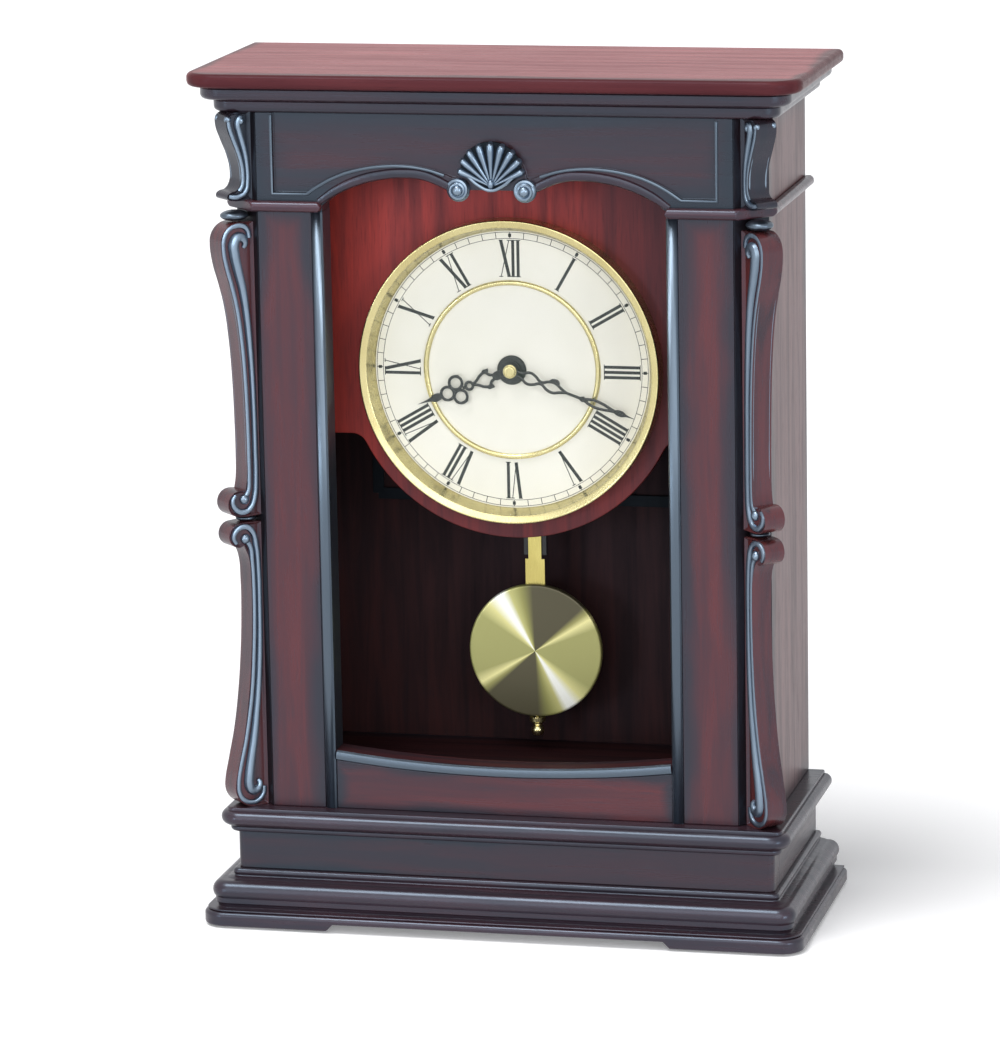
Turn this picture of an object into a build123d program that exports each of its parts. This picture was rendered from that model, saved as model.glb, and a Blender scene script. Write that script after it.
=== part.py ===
from build123d import *
import os
from math import cos, radians, sin, sqrt, tan

# Desk pendulum clock in millimetres.
# The origin is the middle of the footprint on the table, +Z is up and the dial faces -Y.

os.makedirs("parts", exist_ok=True)

# Case body: the upright box between the base and the cornice
body_width = 228.6
body_depth = 98.0
body_height = 300.0
canted_leg = 12.6
canted_angle = 45.0
side_thickness = 10.0
frame_thickness = 12.0
opening_width = 146.8

# Pads and foot plate
pad_thickness = 1.0
pad_width = 12.0
pad_inset = 20.0
foot_height = 6.0
foot_reach = 16.7
base_front_extra = 1.3
foot_corner = 10.0
corner_facets = 3
foot_chamfer = 1.2
apron_width = 150.0
apron_height = 2.9

# Base moulding, from the foot plate up to the plinth
flange_height = 1.0
flange_reach = 15.6
ogee_height = 11.5
ogee_reach = 12.7
ogee_cove = 1.8
ogee_chamfer = 2.6
base_corner = 8.0
quirk_height = 4.0
quirk_reach = 5.4
quirk_chamfer = 1.0
quirk_corner = 4.0

# Plinth
plinth_height = 16.5
plinth_reach = 3.0
plinth_thickness = 12.0
plinth_corner = 3.0

# Sill: the moulded board that the body stands on
sill_neck_height = 3.0
sill_neck_reach = 6.2
sill_neck_chamfer = 1.1
sill_round_height = 6.6
sill_reach = 10.0
sill_corner = 9.0
sill_chamfer = 2.2
sill_step_height = 1.4
sill_step_reach = 7.0
sill_step_chamfer = 0.5

# Cornice and top board
cornice_low_height = 5.6
cornice_low_reach = 6.6
cornice_low_chamfer = 1.7
cornice_low_corner = 8.0
cornice_high_height = 5.4
cornice_high_reach = 11.6
cornice_high_chamfer = 1.7
cornice_high_corner = 11.0
top_front_extra = -4.6
top_height = 6.0
top_reach = 16.7
top_corner = 14.0
top_chamfer = 1.8

# Heights of the front's parts above the sill
waist_rise = 258.3
waist_height = 4.5
waist_reach = 3.8
waist_chamfer = 1.3

# Front frame
stile_bead_width = 4.8
stile_bead_proud = 1.2
stile_bead_round = 1.9
rail_end_rise = 21.3
rail_sag = 4.7
rail_bead_height = 4.4
rail_bead_proud = 1.6
rail_bead_chamfer = 1.3
rail_setback = 0.6

# Frieze: two low arches that meet at the shell
arch_spring_rise = 2.7
arch_shoulder_x = 56.0
arch_shoulder_rise = 12.9
arch_crest_x = 38.0
arch_crest_rise = 15.3
arch_haunch_x = 27.5
arch_haunch_rise = 14.4
arch_end_x = 18.6
arch_end_rise = 10.3
field_depth = 1.4
field_border = 7.4
field_bottom_rise = 8.0
field_start_x = 80.0
field_shoulder_x = 58.0
field_shoulder_rise = 18.3
field_crest_rise = 20.2
field_haunch_x = 28.0
field_haunch_rise = 18.9
field_end_x = 17.0
field_end_rise = 15.4

# Shell and the two small volutes below it
shell_hub_rise = 13.9
shell_radius = 17.4
shell_side_share = 0.6
shell_rib_count = 11
shell_fan_angle = 206.0
shell_rib_tip = 2.6
shell_root_share = 0.15
shell_end_share = 0.4
shell_backing = 1.5
shell_hub_radius = 3.6
shell_hub_taper = 30.0
shell_hub_sides = 12
volute_x = 14.2
volute_rise = 10.5
volute_radius = 5.0
volute_proud = 4.2
volute_chamfer = 0.9
volute_eye_radius = 1.6
volute_sides = 14

# Scroll brackets on the canted corners
bracket_width = 10.0
bracket_rim = 1.5
scroll_steps = 5
sweep_steps = 10
lip_steps = 3
bracket_relief = 1.0
bracket_eye_proud = 0.6
bracket_eye_share = 0.42
bracket_eye_sides = 10
bracket_gap = 0.2
corner_bead_drop = 4.7
corner_bead_reach = 12.6
small_bead_height = 3.0
small_bead_reach = 12.0

# Upper bracket: reaches at its top, waist and lip
upper_top_reach = 11.6
upper_waist_reach = 5.0
upper_lip_reach = 11.8
upper_lip_height = 3.4
upper_roll_radius = 4.0

# Long bracket: scroll at the top, slim middle, volute at the foot
long_top_reach = 15.6
long_scroll_radius = 8.4
long_shoulder_reach = 10.0
long_shoulder_rise = 220.0
long_middle_reach = 6.3
long_middle_rise = 167.0
long_foot_reach = 15.7
long_volute_radius = 5.6
long_bottom_rise = 127.4
long_neck_angle = 30.0

# Lower bracket: volute at the top, slim neck, scroll at the foot
lower_top_reach = 15.6
lower_volute_radius = 5.2
lower_neck_reach = 5.6
lower_neck_rise = 88.0
lower_swell_reach = 9.0
lower_swell_rise = 44.0
lower_foot_reach = 16.0
lower_scroll_radius = 9.0
lower_neck_angle = 10.0

# Case floor and dial board
floor_thickness = 11.0
floor_clearance = 0.2
post_block_width = 14.0
board_setback = 30.5
board_thickness = 4.5
board_clearance = 0.5
board_shoulder_rise = 158.0
board_shoulder_radius = 7.0
board_rim = 7.8

# Dial
dial_rise = 187.5
bezel_radius = 65.2
bezel_depth = 9.0
bezel_lip_width = 1.9
bezel_inner_radius = 60.4
dial_thickness = 0.8
dial_clearance = 0.1
lens_seat_radius = 61.9
lens_thickness = 1.6

# Shafts and hands
arbor_radius = 1.4
arbor_inside = 8.0
pipe_radius = 2.4
bush_radius = 4.0
running_clearance = 0.05
fit_clearance = 0.02
bush_hole_clearance = 0.2
nut_radius = 6.4
nut_thickness = 1.2
nut_flats = 6
hour_hand_lift = 1.6
minute_hand_lift = 3.0
hand_thickness = 0.6
hour_boss_radius = 4.3
minute_boss_radius = 3.3
hand_nut_radius = 2.9
hand_nut_height = 2.0
hour_hand_length = 44.0
minute_hand_length = 57.0
hand_wire = 1.0
hand_ring_sides = 12
hand_bead_sides = 8
minutes_past_hour = 18.3
hour_shown = 8

# Movement behind the dial board
movement_size = 76.0
movement_depth = 26.0
movement_corner = 4.0
movement_chamfer = 1.0
bay_width = 54.0
bay_height = 31.0
bay_depth = 16.0
bay_top_gap = 5.0
cell_radius = 7.1
cell_length = 50.0
cell_clearance = 0.3
cover_overlap = 2.0
cover_thickness = 1.6
cover_clearance = 0.15
cover_rail_width = 2.4
cover_ridge_count = 4
cover_ridge_pitch = 2.4
cover_ridge_height = 0.7
cover_ridge_width = 14.0
grille_x = -21.0
grille_drop = 18.5
grille_radius = 15.0
grille_thickness = 1.2
grille_slot_count = 5
grille_slot_width = 1.8
grille_slot_pitch = 4.2
grille_slot_radius = 10.5
knob_x = 17.0
knob_drop = 9.0
knob_radius = 5.5
knob_height = 4.0
knob_stem_radius = 1.5
knob_stem_depth = 6.0
knob_sides = 16
knob_lift = 0.3
switch_x = 25.0
chime_switch_drop = 21.0
volume_switch_drop = 30.0
switch_travel = 3.0
switch_width = 4.0
switch_height = 3.0
switch_proud = 2.6
switch_sunk = 2.0
switch_clearance = 0.2

# Pendulum
pivot_drop = 26.5
pivot_pin_radius = 1.5
pivot_collar_radius = 2.4
pivot_play = 0.3
pivot_head_radius = 2.6
pivot_head_height = 1.2
hanger_width = 10.0
hanger_thickness = 1.8
hanger_eye_radius = 4.8
hanger_bottom_drop = 62.0
hanger_gap = 6.0
hook_drop = 22.0
hook_radius = 1.6
hook_length = 2.0
rod_width = 5.8
rod_wide_width = 8.6
rod_step_drop = 63.6
rod_thickness = 0.9
rod_top_margin = 5.0
bob_drop = 104.1
bob_radius = 29.5
bob_thickness = 2.6
bob_guide_width = 3.0
bob_guide_height = 40.0
screw_radius = 1.1
screw_length = 6.5
rating_gap = 0.3
rating_collar_radius = 3.6
rating_collar_height = 2.4
rating_waist_radius = 2.2
rating_waist_height = 1.2
rating_ball_radius = 2.9
rating_ball_height = 5.0
rating_bore_depth = 7.0

# Back panel and door
back_setback = 6.0
back_thickness = 4.0
back_clearance = 0.3
rebate_width = 5.0
door_width = 150.0
door_height = 150.0
door_rise = 195.0
door_gap = 0.6
hinge_height = 24.0
hinge_spacing = 90.0
hinge_leaf_width = 9.0
hinge_leaf_thickness = 0.8
hinge_knuckle_radius = 1.7
hinge_pin_radius = 0.9
hinge_end_gap = 0.15
hinge_lift = 0.1
hinge_open_gap = 0.2
door_knob_radius = 5.0
door_knob_height = 5.2
door_knob_neck = 2.6
door_knob_head = 2.6
door_knob_inset = 12.0
magnet_width = 16.0
magnet_height = 10.0
magnet_depth = 5.0
magnet_gap = 0.2
strike_width = 8.0
strike_thickness = 0.8
cut_overrun = 1.0

# Levels, from the table up
foot_z = pad_thickness
flange_z = foot_z + foot_height
plinth_z = flange_z + flange_height + ogee_height + quirk_height
sill_z = plinth_z + plinth_height
body_z = sill_z + sill_neck_height + sill_round_height + sill_step_height
cornice_z = body_z + body_height
top_z = cornice_z + cornice_low_height + cornice_high_height
waist_z = body_z + waist_rise
frieze_z = waist_z
dial_z = body_z + dial_rise

# Planes across the body
body_half = body_width / 2
total_depth = body_depth + foot_reach + base_front_extra
back_y = total_depth / 2
front_y = back_y - body_depth
frame_back_y = front_y + frame_thickness
board_y = front_y + board_setback
board_back_y = board_y + board_thickness
movement_back_y = board_back_y + movement_depth
panel_y = back_y - back_setback - back_thickness
panel_back_y = panel_y + back_thickness
frame_half = body_half - canted_leg
canted_y = front_y + canted_leg
inner_half = body_half - side_thickness
opening_half = opening_width / 2
stile_half = opening_half + stile_bead_width
diagonal = sqrt(2) / 2


def finish(piece, name):
    """Label a finished piece and write it to its own file."""
    piece.part.label = name
    export_step(piece.part, f"parts/{name}.step")
    return piece.part


def board_outline(reach, front_extra, corner):
    """Plan of a board that is flush at the back and has faceted front corners."""
    half = body_half + reach
    front = front_y - reach - front_extra
    turns = [radians(90 * i / corner_facets) for i in range(corner_facets + 1)]
    right = [(half - corner * (1 - cos(turn)), front + corner * (1 - sin(turn))) for turn in turns]
    left = [(-x, y) for x, y in reversed(right)]
    with BuildSketch() as outline:
        with BuildLine():
            Polyline((half, back_y), *right, *left, (-half, back_y), close=True)
        make_face()
    return outline.sketch


def edges_along(part, z, outline):
    """Edges at one level that lie within an outline, without its flush back."""
    box = outline.bounding_box()

    def lies_along(edge):
        span = edge.bounding_box()
        level = abs(span.min.Z - z) < fit_clearance and span.size.Z < fit_clearance
        across = span.min.X > box.min.X - fit_clearance and span.max.X < box.max.X + fit_clearance
        ahead = span.min.Y > box.min.Y - fit_clearance and edge.center().Y < back_y - fit_clearance
        return level and across and ahead

    return part.edges().filter_by(lies_along)


def moulded_layer(z, height, outline, low_chamfer=0, high_chamfer=0):
    """One layer of a moulded board, with its lower and upper edges chamfered."""
    with BuildPart() as layer:
        with BuildSketch(Plane.XY.offset(z)):
            add(outline)
        extrude(amount=height)
        if low_chamfer > 0:
            chamfer(edges_along(layer.part, z, outline), length=low_chamfer)
        if high_chamfer > 0:
            chamfer(edges_along(layer.part, z + height, outline), length=high_chamfer)
    return layer.part


# Pads below the four corners of the foot plate
pad_x = body_half + foot_reach - pad_inset
pad_front_y = front_y - foot_reach - base_front_extra + pad_inset
pad_back_y = back_y - pad_inset
with BuildPart() as felt_pads:
    with BuildSketch():
        with Locations(*[(x, y) for x in (-pad_x, pad_x) for y in (pad_front_y, pad_back_y)]):
            Rectangle(pad_width, pad_width)
    extrude(amount=pad_thickness)
finish(felt_pads, "felt_pads")

# Foot plate, hollowed between its two side runners
with BuildPart() as foot_plate:
    add(moulded_layer(foot_z, foot_height, board_outline(foot_reach, base_front_extra, foot_corner),
                      high_chamfer=foot_chamfer))
    with BuildSketch(Plane.XZ.offset(-back_y - cut_overrun)):
        with BuildLine():
            Polyline(
                (-apron_width / 2, foot_z),
                (-apron_width / 2 + apron_height, foot_z + apron_height),
                (apron_width / 2 - apron_height, foot_z + apron_height),
                (apron_width / 2, foot_z),
                close=True,
            )
        make_face()
    extrude(amount=total_depth + 2 * cut_overrun, mode=Mode.SUBTRACT)
finish(foot_plate, "foot_plate")

# Base moulding: flange, hollow, body and the small bead at the plinth
ogee_z = flange_z + flange_height
quirk_z = ogee_z + ogee_height
ogee_outline = board_outline(ogee_reach, base_front_extra, base_corner)
with BuildPart() as base_moulding:
    add(moulded_layer(flange_z, flange_height, board_outline(flange_reach, base_front_extra, foot_corner)))
    add(moulded_layer(ogee_z, ogee_height, ogee_outline, high_chamfer=ogee_chamfer))
    chamfer(edges_along(base_moulding.part, ogee_z, ogee_outline), length=ogee_cove)
    add(moulded_layer(quirk_z, quirk_height, board_outline(quirk_reach, 0, quirk_corner),
                      high_chamfer=quirk_chamfer))
finish(base_moulding, "base_moulding")

# Plinth of four rails
plinth_half = body_half + plinth_reach
plinth_front_y = front_y - plinth_reach
with BuildPart() as plinth_front:
    with BuildSketch(Plane.XY.offset(plinth_z)) as plinth_front_plan:
        with Locations((0, plinth_front_y + plinth_thickness / 2)):
            Rectangle(2 * plinth_half, plinth_thickness)
        fillet(plinth_front_plan.vertices().group_by(Axis.Y)[0], radius=plinth_corner)
    extrude(amount=plinth_height)
finish(plinth_front, "plinth_front")

side_rail_length = back_y - plinth_front_y - plinth_thickness
side_rail_x = plinth_half - plinth_thickness / 2
with BuildPart() as plinth_sides:
    with BuildSketch(Plane.XY.offset(plinth_z)):
        with Locations(*[(x, back_y - side_rail_length / 2) for x in (-side_rail_x, side_rail_x)]):
            Rectangle(plinth_thickness, side_rail_length)
    extrude(amount=plinth_height)
finish(plinth_sides, "plinth_sides")

with BuildPart() as plinth_back:
    with BuildSketch(Plane.XY.offset(plinth_z)):
        with Locations((0, back_y - plinth_thickness / 2)):
            Rectangle(2 * (plinth_half - plinth_thickness), plinth_thickness)
    extrude(amount=plinth_height)
finish(plinth_back, "plinth_back")

# Sill: neck bead, broad nosing and a thin step under the body
sill_round_z = sill_z + sill_neck_height
sill_step_z = sill_round_z + sill_round_height
with BuildPart() as sill_board:
    add(moulded_layer(sill_z, sill_neck_height, board_outline(sill_neck_reach, 0, quirk_corner),
                      low_chamfer=sill_neck_chamfer))
    add(moulded_layer(sill_round_z, sill_round_height, board_outline(sill_reach, 0, sill_corner),
                      low_chamfer=sill_chamfer, high_chamfer=sill_chamfer))
    add(moulded_layer(sill_step_z, sill_step_height, board_outline(sill_step_reach, 0, quirk_corner),
                      high_chamfer=sill_step_chamfer))
finish(sill_board, "sill_board")

# Cornice in two steps, and the top board
cornice_high_z = cornice_z + cornice_low_height
with BuildPart() as cornice:
    add(moulded_layer(cornice_z, cornice_low_height,
                      board_outline(cornice_low_reach, top_front_extra, cornice_low_corner),
                      low_chamfer=cornice_low_chamfer))
    add(moulded_layer(cornice_high_z, cornice_high_height,
                      board_outline(cornice_high_reach, top_front_extra, cornice_high_corner),
                      low_chamfer=cornice_high_chamfer))
finish(cornice, "cornice")

with BuildPart() as top_board:
    add(moulded_layer(top_z, top_height, board_outline(top_reach, top_front_extra, top_corner),
                      low_chamfer=top_chamfer, high_chamfer=top_chamfer))
finish(top_board, "top_board")

# Side panels, rebated at the back for the back panel
for side, side_name in ((-1, "left"), (1, "right")):
    with BuildPart() as side_panel:
        with BuildSketch(Plane.XY.offset(body_z)):
            with BuildLine():
                Polyline(
                    (side * body_half, canted_y),
                    (side * body_half, back_y),
                    (side * (inner_half + rebate_width), back_y),
                    (side * (inner_half + rebate_width), panel_y),
                    (side * inner_half, panel_y),
                    (side * inner_half, canted_y),
                    close=True,
                )
            make_face()
        extrude(amount=body_height)
    finish(side_panel, f"{side_name}_side_panel")

# Canted corner posts; the dial board is screwed to the back of their blocks
for side, side_name in ((-1, "left"), (1, "right")):
    with BuildPart() as corner_post:
        with BuildSketch(Plane.XY.offset(body_z)):
            with BuildLine():
                Polyline(
                    (side * frame_half, front_y),
                    (side * body_half, canted_y),
                    (side * inner_half, canted_y),
                    (side * inner_half, board_y),
                    (side * (inner_half - post_block_width), board_y),
                    (side * (inner_half - post_block_width), frame_back_y),
                    (side * frame_half, frame_back_y),
                    close=True,
                )
            make_face()
        extrude(amount=body_height)
    finish(corner_post, f"{side_name}_corner_post")

# Stiles and the round beads on their inner edges
stile_width = frame_half - stile_half
for side, side_name in ((-1, "left"), (1, "right")):
    with BuildPart() as stile:
        with BuildSketch(Plane.XY.offset(body_z)):
            with Locations((side * (stile_half + stile_width / 2), front_y + frame_thickness / 2)):
                Rectangle(stile_width, frame_thickness)
        extrude(amount=waist_rise)
    finish(stile, f"{side_name}_stile")

bead_x = opening_half + stile_bead_width / 2
with BuildPart() as stile_beads:
    with BuildSketch(Plane.XY.offset(body_z)) as bead_plan:
        bead_y = front_y + (frame_thickness - stile_bead_proud) / 2
        with Locations((-bead_x, bead_y), (bead_x, bead_y)):
            Rectangle(stile_bead_width, frame_thickness + stile_bead_proud)
        fillet(bead_plan.vertices().group_by(Axis.Y)[0], radius=stile_bead_round)
    extrude(amount=waist_rise)
finish(stile_beads, "stile_beads")

# Bottom rail with a sagging top edge, and the bead that follows it
rail_end_z = body_z + rail_end_rise
rail_middle_z = rail_end_z - rail_sag
with BuildPart() as bottom_rail:
    with BuildSketch(Plane.XZ.offset(-frame_back_y)):
        with BuildLine():
            ThreePointArc((-opening_half, rail_end_z), (0, rail_middle_z), (opening_half, rail_end_z))
            Polyline((opening_half, rail_end_z), (opening_half, body_z), (-opening_half, body_z),
                     (-opening_half, rail_end_z))
        make_face()
    extrude(amount=frame_thickness - rail_setback)
finish(bottom_rail, "bottom_rail")

with BuildPart() as rail_bead:
    with BuildSketch(Plane.XZ.offset(-frame_back_y)):
        with BuildLine():
            ThreePointArc((-opening_half, rail_end_z), (0, rail_middle_z), (opening_half, rail_end_z))
            Line((opening_half, rail_end_z), (opening_half, rail_end_z + rail_bead_height))
            ThreePointArc((opening_half, rail_end_z + rail_bead_height),
                          (0, rail_middle_z + rail_bead_height),
                          (-opening_half, rail_end_z + rail_bead_height))
            Line((-opening_half, rail_end_z + rail_bead_height), (-opening_half, rail_end_z))
        make_face()
    extrude(amount=frame_thickness - rail_setback + rail_bead_proud)
    bead_front = rail_bead.edges().group_by(Axis.Y)[0]
    chamfer(bead_front.filter_by(GeomType.CIRCLE), length=rail_bead_chamfer)
finish(rail_bead, "rail_bead")

# Frieze with two low arches in its lower edge and a sunk field above them
arch_spring_z = frieze_z + arch_spring_rise
arch_crest_z = frieze_z + arch_crest_rise
arch_end_z = frieze_z + arch_end_rise
field_bottom_z = frieze_z + field_bottom_rise
field_crest_z = frieze_z + field_crest_rise
field_end_z = frieze_z + field_end_rise
field_half = frame_half - field_border
shell_hub_z = frieze_z + shell_hub_rise
with BuildPart() as frieze_panel:
    with BuildSketch(Plane.XZ.offset(-frame_back_y)) as frieze_face:
        with BuildLine():
            for side in (-1, 1):
                Polyline((0, cornice_z), (side * frame_half, cornice_z), (side * frame_half, frieze_z),
                         (side * opening_half, frieze_z), (side * opening_half, arch_spring_z))
                ThreePointArc((side * opening_half, arch_spring_z),
                              (side * arch_shoulder_x, frieze_z + arch_shoulder_rise),
                              (side * arch_crest_x, arch_crest_z))
                ThreePointArc((side * arch_crest_x, arch_crest_z),
                              (side * arch_haunch_x, frieze_z + arch_haunch_rise),
                              (side * arch_end_x, arch_end_z))
                Line((side * arch_end_x, arch_end_z), (0, arch_end_z))
        make_face()
    extrude(amount=frame_thickness)
    with BuildSketch(Plane.XZ.offset(-front_y)):
        with BuildLine():
            for side in (-1, 1):
                Polyline((0, cornice_z), (side * field_half, cornice_z), (side * field_half, field_bottom_z),
                         (side * field_start_x, field_bottom_z))
                ThreePointArc((side * field_start_x, field_bottom_z),
                              (side * field_shoulder_x, frieze_z + field_shoulder_rise),
                              (side * arch_crest_x, field_crest_z))
                ThreePointArc((side * arch_crest_x, field_crest_z),
                              (side * field_haunch_x, frieze_z + field_haunch_rise),
                              (side * field_end_x, field_end_z))
                Line((side * field_end_x, field_end_z), (0, field_end_z))
        make_face()
        with Locations((0, shell_hub_z)):
            Circle(shell_radius - shell_rib_tip, mode=Mode.SUBTRACT)
    extrude(amount=-field_depth, mode=Mode.SUBTRACT)
finish(frieze_panel, "frieze_panel")


def rib_angle(index):
    """Angle of a shell rib from upright, in degrees."""
    return shell_fan_angle * (index / (shell_rib_count - 1) - 1 / 2)


def rib_length(index):
    """Distance from the shell's hub to the widest place of a rib."""
    lean = 2 * rib_angle(index) / shell_fan_angle
    return shell_radius * (1 - (1 - shell_side_share) * lean ** 2) - shell_rib_tip


def rib_end(index):
    """Place of a rib's widest point on the front plane."""
    turn = radians(rib_angle(index))
    return rib_length(index) * sin(turn), shell_hub_z + rib_length(index) * cos(turn)


# Scallop shell: a thin backing, keeled ribs that widen outwards, and a hub
shell_axis_y = front_y - shell_backing
rib_side = 2 * shell_rib_tip * diagonal
volute_z = frieze_z + volute_rise
with BuildPart() as shell_carving:
    with BuildSketch(Plane.XZ.offset(-front_y)):
        with BuildLine():
            Polyline(*[rib_end(i) for i in range(shell_rib_count)], close=True)
        make_face()
        with Locations((0, shell_hub_z)):
            RegularPolygon(shell_hub_radius, shell_hub_sides)
    extrude(amount=shell_backing)
    for i in range(shell_rib_count):
        lean = Location((0, shell_axis_y, shell_hub_z), (0, rib_angle(i), 0))
        with Locations(lean * Location((0, 0, rib_length(i)))):
            for turn, length, end_share in ((-90, rib_length(i), shell_root_share),
                                            (90, shell_rib_tip * shell_end_share, shell_end_share)):
                Wedge(rib_side, length, rib_side,
                      rib_side * (1 - end_share) / 2, rib_side * (1 - end_share) / 2,
                      rib_side * (1 + end_share) / 2, rib_side * (1 + end_share) / 2,
                      rotation=(turn, 45, 0), align=(Align.CENTER, Align.MIN, Align.CENTER))
    with BuildSketch(Plane.XZ.offset(-shell_axis_y)):
        with Locations((0, shell_hub_z)):
            RegularPolygon(shell_hub_radius, shell_hub_sides)
    extrude(amount=shell_rib_tip, taper=shell_hub_taper)
    split(bisect_by=Plane.XZ.offset(-front_y), keep=Keep.TOP)
    with BuildSketch(Plane.XZ.offset(-front_y)):
        with Locations((-volute_x, volute_z), (volute_x, volute_z)):
            RegularPolygon(volute_radius, volute_sides)
    extrude(amount=2 * shell_rib_tip, mode=Mode.SUBTRACT)
finish(shell_carving, "shell_carving")

# The two volute bosses at the inner ends of the arches, each with an eye
with BuildPart() as arch_volutes:
    with BuildSketch(Plane.XZ.offset(-front_y)):
        with Locations((-volute_x, volute_z), (volute_x, volute_z)):
            RegularPolygon(volute_radius, volute_sides)
    extrude(amount=volute_proud)
    chamfer(arch_volutes.edges().group_by(Axis.Y)[0], length=volute_chamfer)
    with BuildSketch(Plane.XZ.offset(-front_y + volute_proud)):
        with Locations((-volute_x, volute_z), (volute_x, volute_z)):
            RegularPolygon(volute_eye_radius, volute_sides)
    extrude(amount=volute_chamfer)
finish(arch_volutes, "arch_volutes")

# Waist moulding round each front corner and along each side
corner_miter = waist_reach * tan(radians(canted_angle / 2))
with BuildPart() as waist_mouldings:
    for side in (-1, 1):
        with BuildSketch(Plane.XY.offset(waist_z)):
            with BuildLine():
                Polyline(
                    (side * opening_half, front_y),
                    (side * frame_half, front_y),
                    (side * body_half, canted_y),
                    (side * body_half, back_y),
                    (side * (body_half + waist_reach), back_y),
                    (side * (body_half + waist_reach), canted_y - corner_miter),
                    (side * (frame_half + corner_miter), front_y - waist_reach),
                    (side * opening_half, front_y - waist_reach),
                    close=True,
                )
            make_face()
        extrude(amount=waist_height)
    outer_edges = waist_mouldings.edges().filter_by(Plane.XY).filter_by(
        lambda e: e.center().Y < front_y - fit_clearance
        or abs(e.center().X) > body_half + fit_clearance and e.center().Y < back_y - fit_clearance
    )
    chamfer(outer_edges, length=waist_chamfer)
finish(waist_mouldings, "waist_mouldings")


def canted_plane(side):
    """Plane through a canted corner: local X points out of the corner, local Y is up."""
    middle = (side * (frame_half + body_half) / 2, (front_y + canted_y) / 2, 0)
    outwards = (side * diagonal, -diagonal, 0)
    return Plane(origin=middle, x_dir=outwards, z_dir=(-diagonal, -side * diagonal, 0))


def steps_along(curve, count):
    """Points at even steps along a curve, without its start."""
    return [curve @ ((i + 1) / count) for i in range(count)]


def stepped_outline(points):
    """The area inside a bracket's outline of short straight steps."""
    with BuildSketch() as outline:
        with BuildLine():
            Polyline(*points, close=True)
        make_face()
    return outline.sketch


def scroll_brackets(outline, eyes):
    """A pair of scrolled brackets with sunk sides inside a raised rim, and an eye in each scroll."""
    sunk = offset(outline, amount=-bracket_rim, kind=Kind.INTERSECTION)
    with BuildPart() as pair:
        for side in (-1, 1):
            plane = canted_plane(side)
            with BuildSketch(plane):
                add(outline)
            extrude(amount=bracket_width / 2, both=True)
            for face in (-1, 1):
                with BuildSketch(plane.offset(face * (bracket_width / 2 - bracket_relief))):
                    add(sunk)
                extrude(amount=face * bracket_width, mode=Mode.SUBTRACT)
                with BuildSketch(plane.offset(face * (bracket_width / 2 - bracket_relief))):
                    for reach, z, radius in eyes:
                        with Locations((reach, z)):
                            RegularPolygon(radius * bracket_eye_share, bracket_eye_sides)
                extrude(amount=face * (bracket_relief + bracket_eye_proud))
    return pair


# Upper bracket: lip at the foot, hollow front and a small roll at the top
upper_bottom_z = waist_z + waist_height
lip_top_z = upper_bottom_z + upper_lip_height
lip_nose = upper_lip_reach - upper_lip_height / 2
upper_roll_x = upper_top_reach - upper_roll_radius
upper_roll_z = cornice_z - upper_roll_radius
roll_bend = (upper_roll_x + upper_roll_radius * diagonal, upper_roll_z + upper_roll_radius * diagonal)
lip_arc = ThreePointArc((lip_nose, upper_bottom_z), (upper_lip_reach, (upper_bottom_z + lip_top_z) / 2),
                        (lip_nose, lip_top_z))
upper_sweep = Spline((upper_waist_reach, lip_top_z), (upper_top_reach, upper_roll_z),
                     tangents=((0, 1), (0, 1)))
upper_roll = ThreePointArc((upper_top_reach, upper_roll_z), roll_bend, (upper_roll_x, cornice_z))
upper_outline = stepped_outline([
    (0, cornice_z), (0, upper_bottom_z), (lip_nose, upper_bottom_z), *steps_along(lip_arc, lip_steps),
    (upper_waist_reach, lip_top_z), *steps_along(upper_sweep, scroll_steps),
    *steps_along(upper_roll, lip_steps),
])
upper_eyes = [(upper_roll_x, upper_roll_z, upper_roll_radius)]

# Long bracket: scroll at the top, volute at the foot
long_top_z = waist_z - corner_bead_drop - bracket_gap
long_bottom_z = body_z + long_bottom_rise
long_scroll_x = long_top_reach - long_scroll_radius
long_scroll_z = long_top_z - long_scroll_radius
long_volute_x = long_foot_reach - long_volute_radius
long_volute_z = long_bottom_z + long_volute_radius
long_bend = (long_scroll_x + long_scroll_radius * diagonal, long_scroll_z + long_scroll_radius * diagonal)
long_neck = (long_volute_x - long_volute_radius * sin(radians(long_neck_angle)),
             long_volute_z + long_volute_radius * cos(radians(long_neck_angle)))
long_scroll = ThreePointArc((long_scroll_x, long_top_z), long_bend, (long_top_reach, long_scroll_z))
long_sweep = Spline((long_top_reach, long_scroll_z), (long_shoulder_reach, body_z + long_shoulder_rise),
                    (long_middle_reach, body_z + long_middle_rise), long_neck, tangents=((0, -1), (0, -1)))
long_volute = ThreePointArc(long_neck, (long_foot_reach, long_volute_z), (long_volute_x, long_bottom_z))
long_outline = stepped_outline([
    (0, long_bottom_z), (0, long_top_z), (long_scroll_x, long_top_z), *steps_along(long_scroll, lip_steps),
    *steps_along(long_sweep, sweep_steps), *steps_along(long_volute, scroll_steps),
])
long_eyes = [(long_scroll_x, long_scroll_z, long_scroll_radius),
             (long_volute_x, long_volute_z, long_volute_radius)]

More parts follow.
